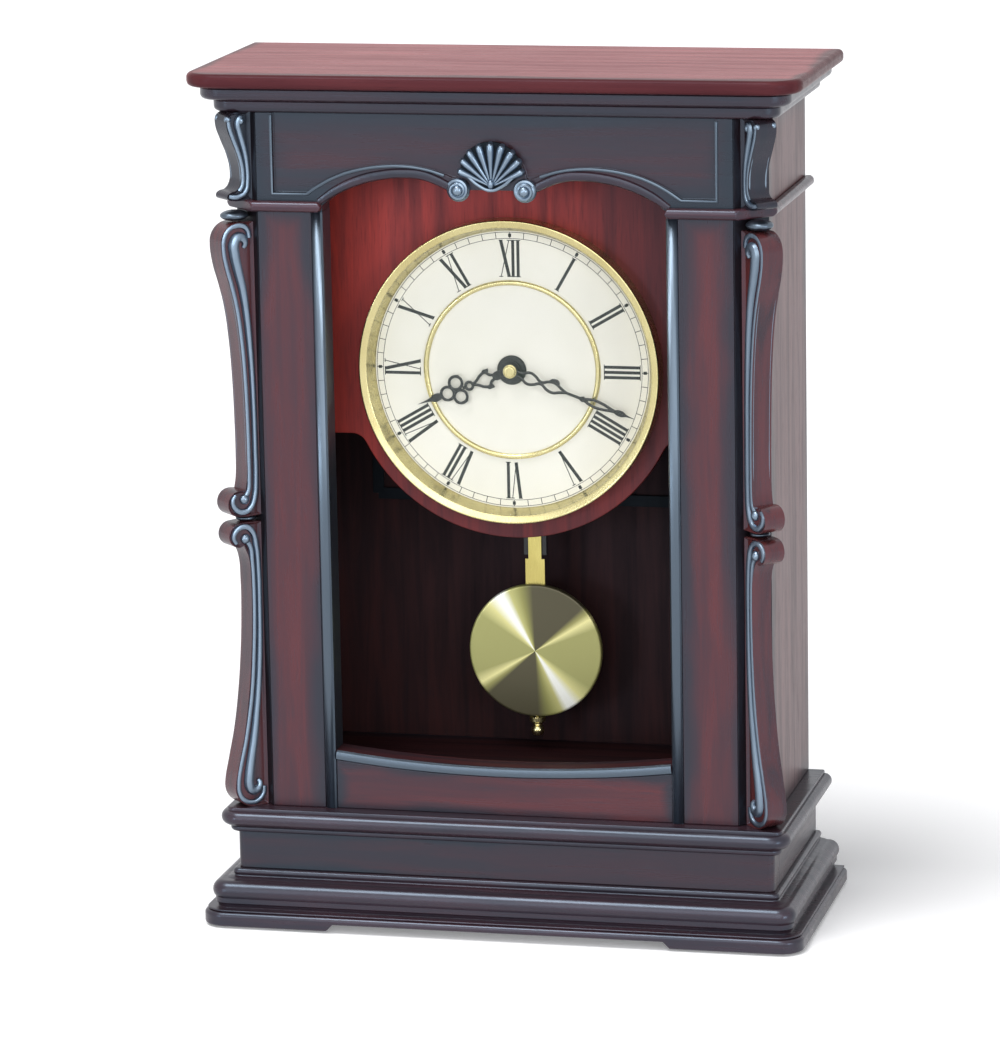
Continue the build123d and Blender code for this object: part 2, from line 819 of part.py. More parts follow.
# Lower bracket: volute at the top, scroll at the foot
lower_top_z = long_bottom_z - small_bead_height
lower_volute_x = lower_top_reach - lower_volute_radius
lower_volute_z = lower_top_z - lower_volute_radius
lower_scroll_x = lower_foot_reach - lower_scroll_radius
lower_scroll_z = body_z + lower_scroll_radius
lower_bend = (lower_scroll_x + lower_scroll_radius * diagonal,
              lower_scroll_z - lower_scroll_radius * diagonal)
lower_neck = (lower_volute_x - lower_volute_radius * sin(radians(lower_neck_angle)),
              lower_volute_z - lower_volute_radius * cos(radians(lower_neck_angle)))
lower_volute = ThreePointArc((lower_volute_x, lower_top_z), (lower_top_reach, lower_volute_z), lower_neck)
lower_sweep = Spline(lower_neck, (lower_neck_reach, body_z + lower_neck_rise),
                     (lower_swell_reach, body_z + lower_swell_rise), (lower_foot_reach, lower_scroll_z),
                     tangents=((0, -1), (0, -1)))
lower_scroll = ThreePointArc((lower_foot_reach, lower_scroll_z), lower_bend, (lower_scroll_x, body_z))
lower_outline = stepped_outline([
    (0, body_z), (0, lower_top_z), (lower_volute_x, lower_top_z), *steps_along(lower_volute, scroll_steps),
    *steps_along(lower_sweep, sweep_steps), *steps_along(lower_scroll, lip_steps),
])
lower_eyes = [(lower_volute_x, lower_volute_z, lower_volute_radius),
              (lower_scroll_x, lower_scroll_z, lower_scroll_radius)]

finish(scroll_brackets(upper_outline, upper_eyes), "upper_brackets")
finish(scroll_brackets(long_outline, long_eyes), "long_brackets")
finish(scroll_brackets(lower_outline, lower_eyes), "lower_brackets")

# Beads between the brackets: one under each waist, one between each pair of volutes
with BuildPart() as corner_beads:
    for side in (-1, 1):
        for bottom_z, height, reach in ((waist_z - corner_bead_drop, corner_bead_drop, corner_bead_reach),
                                        (lower_top_z, small_bead_height, small_bead_reach)):
            with BuildSketch(canted_plane(side)):
                with BuildLine():
                    Polyline(
                        (0, bottom_z),
                        (0, bottom_z + height),
                        (reach - height / 4, bottom_z + height),
                        (reach, bottom_z + height * 3 / 4),
                        (reach, bottom_z + height / 4),
                        (reach - height / 4, bottom_z),
                        close=True,
                    )
                make_face()
            extrude(amount=bracket_width / 2, both=True)
finish(corner_beads, "corner_beads")

# Case floor, notched round the blocks of the corner posts
floor_half = inner_half - floor_clearance
with BuildPart() as case_floor:
    with BuildSketch(Plane.XY.offset(body_z)):
        with Locations((0, (board_y + panel_y) / 2)):
            Rectangle(2 * floor_half, panel_y - board_y - 2 * floor_clearance)
        with Locations((0, (frame_back_y + board_y + 2 * floor_clearance) / 2)):
            Rectangle(2 * (floor_half - post_block_width), board_y - frame_back_y)
    extrude(amount=floor_thickness)
finish(case_floor, "case_floor")

# Dial board: full width above its shoulders, round below the dial
board_half = inner_half - board_clearance
board_top_z = cornice_z - board_clearance
board_shoulder_z = body_z + board_shoulder_rise
with BuildPart() as dial_board:
    with BuildSketch(Plane.XZ.offset(-board_back_y)) as board_face:
        with Locations((0, (board_shoulder_z + board_top_z) / 2)):
            Rectangle(2 * board_half, board_top_z - board_shoulder_z)
        with Locations((0, dial_z)):
            Circle(bezel_radius + board_rim)
        shoulders = board_face.vertices().filter_by(
            lambda v: abs(v.Y - board_shoulder_z) < fit_clearance and abs(v.X) < board_half - fit_clearance
        )
        fillet(shoulders, radius=board_shoulder_radius)
        with Locations((0, dial_z)):
            Circle(bush_radius + bush_hole_clearance, mode=Mode.SUBTRACT)
    extrude(amount=board_thickness)
finish(dial_board, "dial_board")

# Dial plate, seated inside the bezel
dial_front_y = board_y - dial_thickness
with BuildPart() as dial_plate:
    with BuildSketch(Plane.XZ.offset(-board_y)):
        with Locations((0, dial_z)):
            Circle(bezel_inner_radius - dial_clearance)
            Circle(bush_radius + bush_hole_clearance, mode=Mode.SUBTRACT)
    extrude(amount=dial_thickness)
finish(dial_plate, "dial_plate")

# Bezel: a stepped front with a seat for the lens
bezel_front_y = board_y - bezel_depth
lens_back_y = bezel_front_y + bezel_lip_width
with BuildPart() as bezel:
    with BuildSketch(Plane.XZ.offset(-board_y)):
        with Locations((0, dial_z)):
            Circle(bezel_radius)
            Circle(bezel_inner_radius, mode=Mode.SUBTRACT)
    extrude(amount=bezel_depth - bezel_lip_width)
    with BuildSketch(Plane.XZ.offset(-bezel_front_y)):
        with Locations((0, dial_z)):
            Circle(bezel_radius - bezel_lip_width)
            Circle(lens_seat_radius, mode=Mode.SUBTRACT)
    extrude(amount=-bezel_lip_width)
finish(bezel, "bezel")

# Flat lens in the bezel's front seat
with BuildPart() as dial_lens:
    with BuildSketch(Plane.XZ.offset(-lens_back_y)):
        with Locations((0, dial_z)):
            Circle(lens_seat_radius - dial_clearance)
    extrude(amount=lens_thickness)
finish(dial_lens, "dial_lens")

# Movement housing: neck through the dial, battery bay, bores and slots in its back
bush_front_y = dial_front_y - nut_thickness
movement_top_z = dial_z + movement_size / 2
bay_z = movement_top_z - bay_top_gap - bay_height / 2
knob_z = dial_z - knob_drop
pivot_z = dial_z - pivot_drop
chime_switch_z = dial_z - chime_switch_drop
volume_switch_z = dial_z - volume_switch_drop
cover_half = bay_width / 2 + cover_overlap
cover_height = bay_height + 2 * cover_overlap
back_face = Plane.XZ.offset(-movement_back_y)
with BuildPart() as movement_housing:
    with BuildSketch(back_face) as housing_face:
        with Locations((0, dial_z)):
            Rectangle(movement_size, movement_size)
        chamfer(housing_face.vertices(), length=movement_corner)
    extrude(amount=movement_depth)
    chamfer(movement_housing.edges().group_by(Axis.Y)[-1], length=movement_chamfer)
    with BuildSketch(back_face):
        with Locations((0, bay_z)):
            Rectangle(bay_width, bay_height)
    extrude(amount=bay_depth, mode=Mode.SUBTRACT)
    with BuildSketch(back_face):
        with Locations((knob_x, knob_z)):
            Circle(knob_stem_radius + running_clearance)
    extrude(amount=knob_stem_depth + running_clearance, mode=Mode.SUBTRACT)
    with BuildSketch(back_face):
        with Locations((switch_x, chime_switch_z), (switch_x, volume_switch_z)):
            Rectangle(switch_width + 2 * (switch_travel + switch_clearance),
                      switch_height + 2 * switch_clearance)
    extrude(amount=switch_sunk + switch_clearance, mode=Mode.SUBTRACT)
    with BuildSketch(Plane.XZ.offset(-board_back_y)):
        with Locations((0, dial_z)):
            Circle(bush_radius)
    extrude(amount=board_back_y - bush_front_y)
    with BuildSketch(Plane.XZ.offset(-board_back_y)):
        with Locations((0, dial_z)):
            Circle(pipe_radius + running_clearance)
    extrude(amount=board_back_y - bush_front_y, mode=Mode.SUBTRACT)
    with BuildSketch(Plane.XZ.offset(-board_back_y)):
        with Locations((0, dial_z)):
            Circle(arbor_radius + running_clearance)
    extrude(amount=-arbor_inside - running_clearance, mode=Mode.SUBTRACT)
    for side in (-1, 1):
        with BuildSketch(Plane.XY.offset(bay_z - cover_height / 2)):
            with BuildLine():
                rail_x = cover_half + cover_clearance
                rail_top_y = movement_back_y + cover_thickness + 2 * cover_clearance
                Polyline(
                    (side * rail_x, movement_back_y),
                    (side * rail_x, rail_top_y),
                    (side * (rail_x - cover_overlap), rail_top_y),
                    (side * (rail_x - cover_overlap), rail_top_y + cover_thickness / 2),
                    (side * (rail_x + cover_rail_width), rail_top_y + cover_thickness / 2),
                    (side * (rail_x + cover_rail_width), movement_back_y),
                    close=True,
                )
            make_face()
        extrude(amount=cover_height)
finish(movement_housing, "movement_housing")

# Hexagonal nut that clamps board and dial on the neck
with BuildPart() as fixing_nut:
    with BuildSketch(Plane.XZ.offset(-dial_front_y)):
        with Locations((0, dial_z)):
            RegularPolygon(nut_radius, nut_flats)
            Circle(bush_radius + fit_clearance, mode=Mode.SUBTRACT)
    extrude(amount=nut_thickness)
finish(fixing_nut, "fixing_nut")

# Two cells side by side
cell_y = movement_back_y - bay_depth + cell_clearance + cell_radius
cell_offset = bay_height / 4
with BuildPart() as batteries:
    for direction in (-1, 1):
        cell_z = bay_z + direction * cell_offset
        with BuildSketch(Plane.YZ.offset(-direction * cell_length / 2)):
            with Locations((cell_y, cell_z)):
                Circle(cell_radius)
        extrude(amount=direction * cell_length)
finish(batteries, "batteries")

# Sliding battery cover with finger ridges
cover_y = movement_back_y + cover_clearance
with BuildPart() as battery_cover:
    with BuildSketch(Plane.XZ.offset(-cover_y - cover_thickness)):
        with Locations((0, bay_z)):
            Rectangle(2 * cover_half, cover_height)
    extrude(amount=cover_thickness)
    with BuildSketch(Plane.XZ.offset(-cover_y - cover_thickness)):
        with Locations((0, bay_z)):
            with GridLocations(0, cover_ridge_pitch, 1, cover_ridge_count):
                Rectangle(cover_ridge_width, cover_ridge_pitch / 2)
    extrude(amount=-cover_ridge_height)
finish(battery_cover, "battery_cover")

# Sound grille on the housing's back
with BuildPart() as speaker_grille:
    with BuildSketch(Plane.XZ.offset(-movement_back_y - grille_thickness)) as grille_face:
        with Locations((grille_x, dial_z - grille_drop)):
            Circle(grille_radius)
            for i in range(grille_slot_count):
                rise = (i - (grille_slot_count - 1) / 2) * grille_slot_pitch
                half_chord = sqrt(grille_slot_radius ** 2 - rise ** 2)
                with Locations((0, rise)):
                    Rectangle(2 * half_chord, grille_slot_width, mode=Mode.SUBTRACT)
    extrude(amount=grille_thickness)
finish(speaker_grille, "speaker_grille")

# Hand-setting knob with flats for the fingers
knob_y = movement_back_y + knob_lift
with BuildPart() as set_knob:
    with BuildSketch(Plane.XZ.offset(-knob_y)):
        with Locations((knob_x, knob_z)):
            RegularPolygon(knob_radius, knob_sides)
    extrude(amount=-knob_height)
    with BuildSketch(Plane.XZ.offset(-knob_y)):
        with Locations((knob_x, knob_z)):
            Circle(knob_stem_radius)
    extrude(amount=knob_lift + knob_stem_depth)
finish(set_knob, "set_knob")

# Slide switches for chime and volume
for switch_name, switch_z in (("chime_switch", chime_switch_z), ("volume_switch", volume_switch_z)):
    with BuildPart() as slide_switch:
        with BuildSketch(Plane.XZ.offset(-movement_back_y + switch_sunk)):
            with Locations((switch_x, switch_z)):
                Rectangle(switch_width, switch_height)
        extrude(amount=-switch_sunk - switch_proud)
    finish(slide_switch, switch_name)

# Pivot of the pendulum: collar, pin and head on the back of the movement
hanger_y = movement_back_y + hanger_gap
pivot_head_y = hanger_y + hanger_thickness + pivot_play
with BuildPart() as pendulum_pivot:
    with BuildSketch(back_face):
        with Locations((0, pivot_z)):
            Circle(pivot_collar_radius)
    extrude(amount=-hanger_gap + pivot_play)
    with BuildSketch(back_face):
        with Locations((0, pivot_z)):
            Circle(pivot_pin_radius)
    extrude(amount=movement_back_y - pivot_head_y)
    with BuildSketch(Plane.XZ.offset(-pivot_head_y)):
        with Locations((0, pivot_z)):
            Circle(pivot_head_radius)
    extrude(amount=-pivot_head_height)
finish(pendulum_pivot, "pendulum_pivot")

# Hanger: eye at the pivot, long blade and a hook pin for the rod
hook_z = pivot_z - hook_drop
with BuildPart() as pendulum_hanger:
    with BuildSketch(Plane.XZ.offset(-hanger_y - hanger_thickness)):
        with Locations((0, pivot_z)):
            Circle(hanger_eye_radius)
        with Locations((0, pivot_z - hanger_bottom_drop / 2)):
            Rectangle(hanger_width, hanger_bottom_drop)
        with Locations((0, pivot_z)):
            Circle(pivot_pin_radius + running_clearance, mode=Mode.SUBTRACT)
    extrude(amount=hanger_thickness)
    with BuildSketch(Plane.XZ.offset(-hanger_y)):
        with Locations((0, hook_z)):
            Circle(hook_radius)
    extrude(amount=hook_length)
finish(pendulum_hanger, "pendulum_hanger")

# Flat rod, wider below the step, with a threaded end
rod_y = hanger_y - rod_thickness
rod_middle_y = rod_y + rod_thickness / 2
rod_top_z = hook_z + rod_top_margin
rod_step_z = pivot_z - rod_step_drop
bob_z = pivot_z - bob_drop
rod_bottom_z = bob_z - bob_radius
with BuildPart() as pendulum_rod:
    with BuildSketch(Plane.XZ.offset(-hanger_y)):
        with Locations((0, (rod_top_z + rod_step_z) / 2)):
            Rectangle(rod_width, rod_top_z - rod_step_z)
        with Locations((0, (rod_step_z + rod_bottom_z) / 2)):
            Rectangle(rod_wide_width, rod_step_z - rod_bottom_z)
        with Locations((0, hook_z)):
            Circle(hook_radius + running_clearance, mode=Mode.SUBTRACT)
    extrude(amount=rod_thickness)
    with BuildSketch(Plane.XY.offset(rod_bottom_z)):
        with Locations((0, rod_middle_y)):
            Circle(screw_radius)
    extrude(amount=-screw_length)
finish(pendulum_rod, "pendulum_rod")

# Bob: disc with two guides that hold the rod
guide_x = rod_wide_width / 2 + rating_gap + bob_guide_width / 2
with BuildPart() as pendulum_bob:
    with BuildSketch(Plane.XZ.offset(-rod_y)):
        with Locations((0, bob_z)):
            Circle(bob_radius)
    extrude(amount=bob_thickness)
    with BuildSketch(Plane.XZ.offset(-rod_y)):
        with Locations((-guide_x, bob_z), (guide_x, bob_z)):
            Rectangle(bob_guide_width, bob_guide_height)
    extrude(amount=-rod_thickness)
finish(pendulum_bob, "pendulum_bob")

# Turned nut below the bob
nut_top_z = bob_z - bob_radius - rating_gap
waist_top_z = nut_top_z - rating_collar_height
ball_top_z = waist_top_z - rating_waist_height
with BuildPart() as rating_nut:
    for top_z, height, radius in ((nut_top_z, rating_collar_height, rating_collar_radius),
                                  (waist_top_z, rating_waist_height, rating_waist_radius),
                                  (ball_top_z, rating_ball_height, rating_ball_radius)):
        with BuildSketch(Plane.XY.offset(top_z)):
            with Locations((0, rod_middle_y)):
                Circle(radius)
        extrude(amount=-height)
    with BuildSketch(Plane.XY.offset(nut_top_z)):
        with Locations((0, rod_middle_y)):
            Circle(screw_radius + running_clearance)
    extrude(amount=-rating_bore_depth, mode=Mode.SUBTRACT)
finish(rating_nut, "rating_nut")

# Arbor of the minute hand and pipe of the hour hand
hour_hand_y = dial_front_y - hour_hand_lift
minute_hand_y = dial_front_y - minute_hand_lift
arbor_front_y = minute_hand_y - hand_thickness - hand_nut_height / 2
with BuildPart() as centre_arbor:
    with BuildSketch(Plane.XZ.offset(-board_back_y - arbor_inside)):
        with Locations((0, dial_z)):
            Circle(arbor_radius)
    extrude(amount=board_back_y + arbor_inside - arbor_front_y)
finish(centre_arbor, "centre_arbor")

with BuildPart() as hour_pipe:
    with BuildSketch(Plane.XZ.offset(-board_back_y + running_clearance)):
        with Locations((0, dial_z)):
            Circle(pipe_radius)
            Circle(arbor_radius + running_clearance, mode=Mode.SUBTRACT)
    extrude(amount=board_back_y - running_clearance - hour_hand_y + hand_thickness)
finish(hour_pipe, "hour_pipe")


def hand_plane(clock_angle, y):
    """Plane of a hand: local Y points along the hand, at a clock angle in degrees."""
    turn = radians(clock_angle)
    return Plane(origin=(0, y, dial_z), x_dir=(cos(turn), 0, -sin(turn)), z_dir=(0, -1, 0))


def bent_stroke(length, shares, side):
    """Points of a bent stroke of a hand: its start, its widest place and its end."""
    start, middle, end, half_width = shares
    return (0, start * length), (side * half_width * length, middle * length), (0, end * length)


# Hour hand: stem, small ring, three rings and a pierced point; shares are of its length
minute_angle = 360 * minutes_past_hour / 60
hour_angle = 360 * hour_shown / 12 + minute_angle / 12
stem_shares = (0.28, 0.40)
ring_shares = ((0, 0.447, 0.058), (-0.075, 0.545, 0.080), (0.075, 0.545, 0.080), (0, 0.643, 0.080))
point_shares = (0.72, 0.79, 0.045)
with BuildPart() as hour_hand:
    with BuildSketch(hand_plane(hour_angle, hour_hand_y)):
        RegularPolygon(hour_boss_radius, hand_ring_sides)
        with BuildLine():
            Polyline((-hour_boss_radius / 2, hour_boss_radius / 2), (0, stem_shares[0] * hour_hand_length),
                     (hour_boss_radius / 2, hour_boss_radius / 2))
        trace(line_width=hand_wire)
        with BuildLine():
            Line((0, stem_shares[0] * hour_hand_length - hand_wire), (0, stem_shares[1] * hour_hand_length))
        trace(line_width=hand_wire)
        for mode, cut in ((Mode.ADD, 0), (Mode.SUBTRACT, hand_wire)):
            for x_share, y_share, radius_share in ring_shares:
                with Locations((x_share * hour_hand_length, y_share * hour_hand_length)):
                    RegularPolygon(radius_share * hour_hand_length - cut, hand_ring_sides, mode=mode)
        with BuildLine():
            Polyline(
                (0, point_shares[0] * hour_hand_length),
                (point_shares[2] * hour_hand_length, point_shares[1] * hour_hand_length),
                (0, hour_hand_length),
                (-point_shares[2] * hour_hand_length, point_shares[1] * hour_hand_length),
                close=True,
            )
        make_face()
        with Locations((0, point_shares[1] * hour_hand_length)):
            RegularPolygon(hand_wire / 2, hand_bead_sides, mode=Mode.SUBTRACT)
        Circle(pipe_radius + fit_clearance, mode=Mode.SUBTRACT)
    extrude(amount=hand_thickness)
finish(hour_hand, "hour_hand")

# Minute hand: open loops, a bowed stem and a long pierced point
loop_shares = ((0.040, 0.130, 0.225, 0.036), (0.215, 0.330, 0.440, 0.046), (0.640, 0.760, 0.900, 0.027))
bow_shares = (0.430, 0.540, 0.650, 0.042)
bead_shares = (0.220, 0.435, 0.645)
tip_share = 0.88
with BuildPart() as minute_hand:
    with BuildSketch(hand_plane(minute_angle, minute_hand_y)):
        RegularPolygon(minute_boss_radius, hand_ring_sides)
        for side in (-1, 1):
            for shares in loop_shares:
                with BuildLine():
                    Polyline(*bent_stroke(minute_hand_length, shares, side))
                trace(line_width=hand_wire)
        with BuildLine():
            Polyline(*bent_stroke(minute_hand_length, bow_shares, 1))
        trace(line_width=hand_wire)
        with Locations(*[(0, share * minute_hand_length) for share in bead_shares]):
            RegularPolygon(hand_wire, hand_bead_sides)
        with BuildLine():
            Polyline(
                (-hand_wire, tip_share * minute_hand_length),
                (hand_wire, tip_share * minute_hand_length),
                (0, minute_hand_length),
                close=True,
            )
        make_face()
        Circle(arbor_radius + fit_clearance, mode=Mode.SUBTRACT)
    extrude(amount=hand_thickness)
finish(minute_hand, "minute_hand")

# Brass nut that holds the hands
nut_back_y = minute_hand_y - hand_thickness
with BuildPart() as hand_nut:
    with BuildSketch(Plane.XZ.offset(-nut_back_y)):
        with Locations((0, dial_z)):
            Circle(hand_nut_radius)
    extrude(amount=hand_nut_height)
    with BuildSketch(Plane.XZ.offset(-nut_back_y)):
        with Locations((0, dial_z)):
            Circle(arbor_radius + fit_clearance)
    extrude(amount=nut_back_y - arbor_front_y, mode=Mode.SUBTRACT)
finish(hand_nut, "hand_nut")

# Back panel with the door opening
panel_half = inner_half + rebate_width - back_clearance
door_z = body_z + door_rise
with BuildPart() as back_panel:
    with BuildSketch(Plane.XZ.offset(-panel_back_y)):
        with Locations((0, body_z + body_height / 2)):
            Rectangle(2 * panel_half, body_height - 2 * back_clearance)
        with Locations((0, door_z)):
            Rectangle(door_width + 2 * door_gap, door_height + 2 * door_gap, mode=Mode.SUBTRACT)
    extrude(amount=back_thickness)
finish(back_panel, "back_panel")

with BuildPart() as back_door:
    with BuildSketch(Plane.XZ.offset(-panel_back_y)):
        with Locations((0, door_z)):
            Rectangle(door_width, door_height)
    extrude(amount=back_thickness)
finish(back_door, "back_door")

# Lift-off hinges on the left of the door: the leaves carry the pins that the straps turn on
hinge_x = -door_width / 2 - door_gap / 2
hinge_y = panel_back_y + hinge_knuckle_radius + hinge_lift
leaf_start = hinge_knuckle_radius + hinge_open_gap
knuckle_height = hinge_height / 2
hinge_bottoms = [door_z + direction * hinge_spacing / 2 - hinge_height / 2 for direction in (-1, 1)]


def hinge_half(direction, knuckle_rise):
    """Leaf, tongue and solid knuckle of one side of both hinges."""
    with BuildPart() as half:
        for bottom_z in hinge_bottoms:
            with BuildSketch(Plane.XY.offset(bottom_z)):
                with Locations((hinge_x + direction * (leaf_start + hinge_leaf_width / 2),
                                panel_back_y + hinge_leaf_thickness / 2)):
                    Rectangle(hinge_leaf_width, hinge_leaf_thickness)
            extrude(amount=hinge_height)
            with BuildSketch(Plane.XY.offset(bottom_z + knuckle_rise + hinge_end_gap)):
                with Locations((hinge_x + direction * leaf_start / 2,
                                panel_back_y + hinge_lift + (hinge_leaf_thickness - hinge_lift) / 2)):
                    Rectangle(leaf_start, hinge_leaf_thickness - hinge_lift)
                with Locations((hinge_x, hinge_y)):
                    Circle(hinge_knuckle_radius)
            extrude(amount=knuckle_height - 2 * hinge_end_gap)
    return half.part


with BuildPart() as door_hinge_leaves:
    add(hinge_half(-1, 0))
    for bottom_z in hinge_bottoms:
        with BuildSketch(Plane.XY.offset(bottom_z + knuckle_height - hinge_end_gap)):
            with Locations((hinge_x, hinge_y)):
                Circle(hinge_pin_radius)
        extrude(amount=knuckle_height + hinge_end_gap)
finish(door_hinge_leaves, "door_hinge_leaves")

with BuildPart() as door_hinge_straps:
    add(hinge_half(1, knuckle_height))
    for bottom_z in hinge_bottoms:
        with BuildSketch(Plane.XY.offset(bottom_z + knuckle_height)):
            with Locations((hinge_x, hinge_y)):
                Circle(hinge_pin_radius + running_clearance)
        extrude(amount=hinge_height, mode=Mode.SUBTRACT)
finish(door_hinge_straps, "door_hinge_straps")

# Small turned pull on the door
pull_x = door_width / 2 - door_knob_inset
with BuildPart() as door_knob:
    with BuildSketch(Plane.XZ.offset(-panel_back_y)):
        with Locations((pull_x, door_z)):
            Circle(door_knob_neck)
    extrude(amount=-door_knob_height)
    with BuildSketch(Plane.XZ.offset(-panel_back_y - door_knob_height)):
        with Locations((pull_x, door_z)):
            Circle(door_knob_radius)
    extrude(amount=door_knob_head)
finish(door_knob, "door_knob")

# Magnetic catch: the block on the panel's inner face and the strike on the door
catch_edge = door_width / 2 + door_gap
with BuildPart() as door_magnet:
    with BuildSketch(Plane.XZ.offset(-panel_y)):
        with Locations((catch_edge + magnet_width / 2, door_z)):
            Rectangle(magnet_width, magnet_height)
    extrude(amount=magnet_depth)
    with BuildSketch(Plane.XZ.offset(-panel_y + strike_thickness + magnet_gap)):
        with Locations((catch_edge, door_z)):
            Rectangle(2 * strike_width, magnet_height)
    extrude(amount=magnet_depth - strike_thickness - magnet_gap)
finish(door_magnet, "door_magnet")

with BuildPart() as door_strike:
    with BuildSketch(Plane.XZ.offset(-panel_y)):
        with Locations((door_width / 2 - strike_width / 2, door_z)):
            Rectangle(strike_width, magnet_height)
    extrude(amount=strike_thickness)
finish(door_strike, "door_strike")
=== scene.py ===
"""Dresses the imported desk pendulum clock: mouldings, carving, dial, hands, pendulum and back."""

from __future__ import annotations

import logging
from dataclasses import dataclass
from enum import Enum
from math import atan2, cos, hypot, pi, radians, sin
from typing import Any, ClassVar, Iterable, Protocol, Sequence

import bmesh
import bpy
from mathutils import Matrix, Vector


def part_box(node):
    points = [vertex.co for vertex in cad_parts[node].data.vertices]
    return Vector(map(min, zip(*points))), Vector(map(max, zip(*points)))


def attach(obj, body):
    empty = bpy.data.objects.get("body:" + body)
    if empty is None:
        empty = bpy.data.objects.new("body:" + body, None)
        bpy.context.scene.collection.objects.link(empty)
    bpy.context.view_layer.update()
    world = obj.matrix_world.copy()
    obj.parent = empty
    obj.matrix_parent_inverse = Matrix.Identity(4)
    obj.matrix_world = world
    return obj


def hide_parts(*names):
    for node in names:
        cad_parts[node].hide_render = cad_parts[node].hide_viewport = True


log = logging.getLogger("clock")
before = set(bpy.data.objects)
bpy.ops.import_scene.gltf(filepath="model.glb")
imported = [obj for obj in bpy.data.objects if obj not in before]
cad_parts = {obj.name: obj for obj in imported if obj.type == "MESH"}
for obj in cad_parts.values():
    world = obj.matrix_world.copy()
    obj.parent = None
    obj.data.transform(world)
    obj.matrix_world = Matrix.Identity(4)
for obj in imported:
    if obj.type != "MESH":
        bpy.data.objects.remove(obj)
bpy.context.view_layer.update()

MM = 0.001
BACK_Y = 58.0
BODY_HALF = 114.3
FRONT_Y = -40.0
CORNER_X = 108.0
CORNER_Y = -33.7
DIAL_Z = 238.5
FREE = 500.0  # half size past every edge, so that no toning shows along that axis
Colour = tuple[float, float, float]
Knot = tuple[float, ...]
WHITE: Colour = (1.0, 1.0, 1.0)
EVEN = (1.0, 1.0, 1.0)
COOL_LIGHT: Colour = (0.84, 0.92, 1.0)
TO_MM = (1 / MM,) * 3
SIDES = (("left", -1), ("right", 1))
FACING = Matrix.Rotation(pi / 2, 4, "X")
REARWARD = Matrix.Rotation(-pi / 2, 4, "X")
OTHER_SIDE = Matrix.Diagonal((-1, 1, 1, 1))
OTHER_FACE = Matrix.Diagonal((1, 1, -1, 1))


def linear(level: int) -> float:
    """Linear value of an 8-bit screen level."""
    share = level / 255
    return share / 12.92 if level <= 10 else ((share + 0.055) / 1.055) ** 2.4


def srgb(red: int, green: int, blue: int) -> Colour:
    """Linear colour of an 8-bit screen colour."""
    return linear(red), linear(green), linear(blue)


def move(x: float, y: float, z: float) -> Matrix:
    """Matrix that moves a shape, in millimetres."""
    return Matrix.Translation((x, y, z))


DIAL_CENTRE = move(0, 0, DIAL_Z) @ FACING


def arc(centre: tuple[float, float], radius: float, start: float, end: float, steps: int,
        end_radius: float | None = None) -> list[Knot]:
    """Points along an arc or a spiral.

    Args:
        centre: its centre.
        radius: radius at the start.
        start, end: angles in degrees from the first axis.
        steps: number of steps between the two ends.
        end_radius: radius at the end, for a spiral.

    Returns:
        The points, both ends included.
    """
    last = radius if end_radius is None else end_radius
    turns = [i / steps for i in range(steps + 1)]
    return [
        (centre[0] + (radius + (last - radius) * t) * cos(radians(start + (end - start) * t)),
         centre[1] + (radius + (last - radius) * t) * sin(radians(start + (end - start) * t)))
        for t in turns
    ]


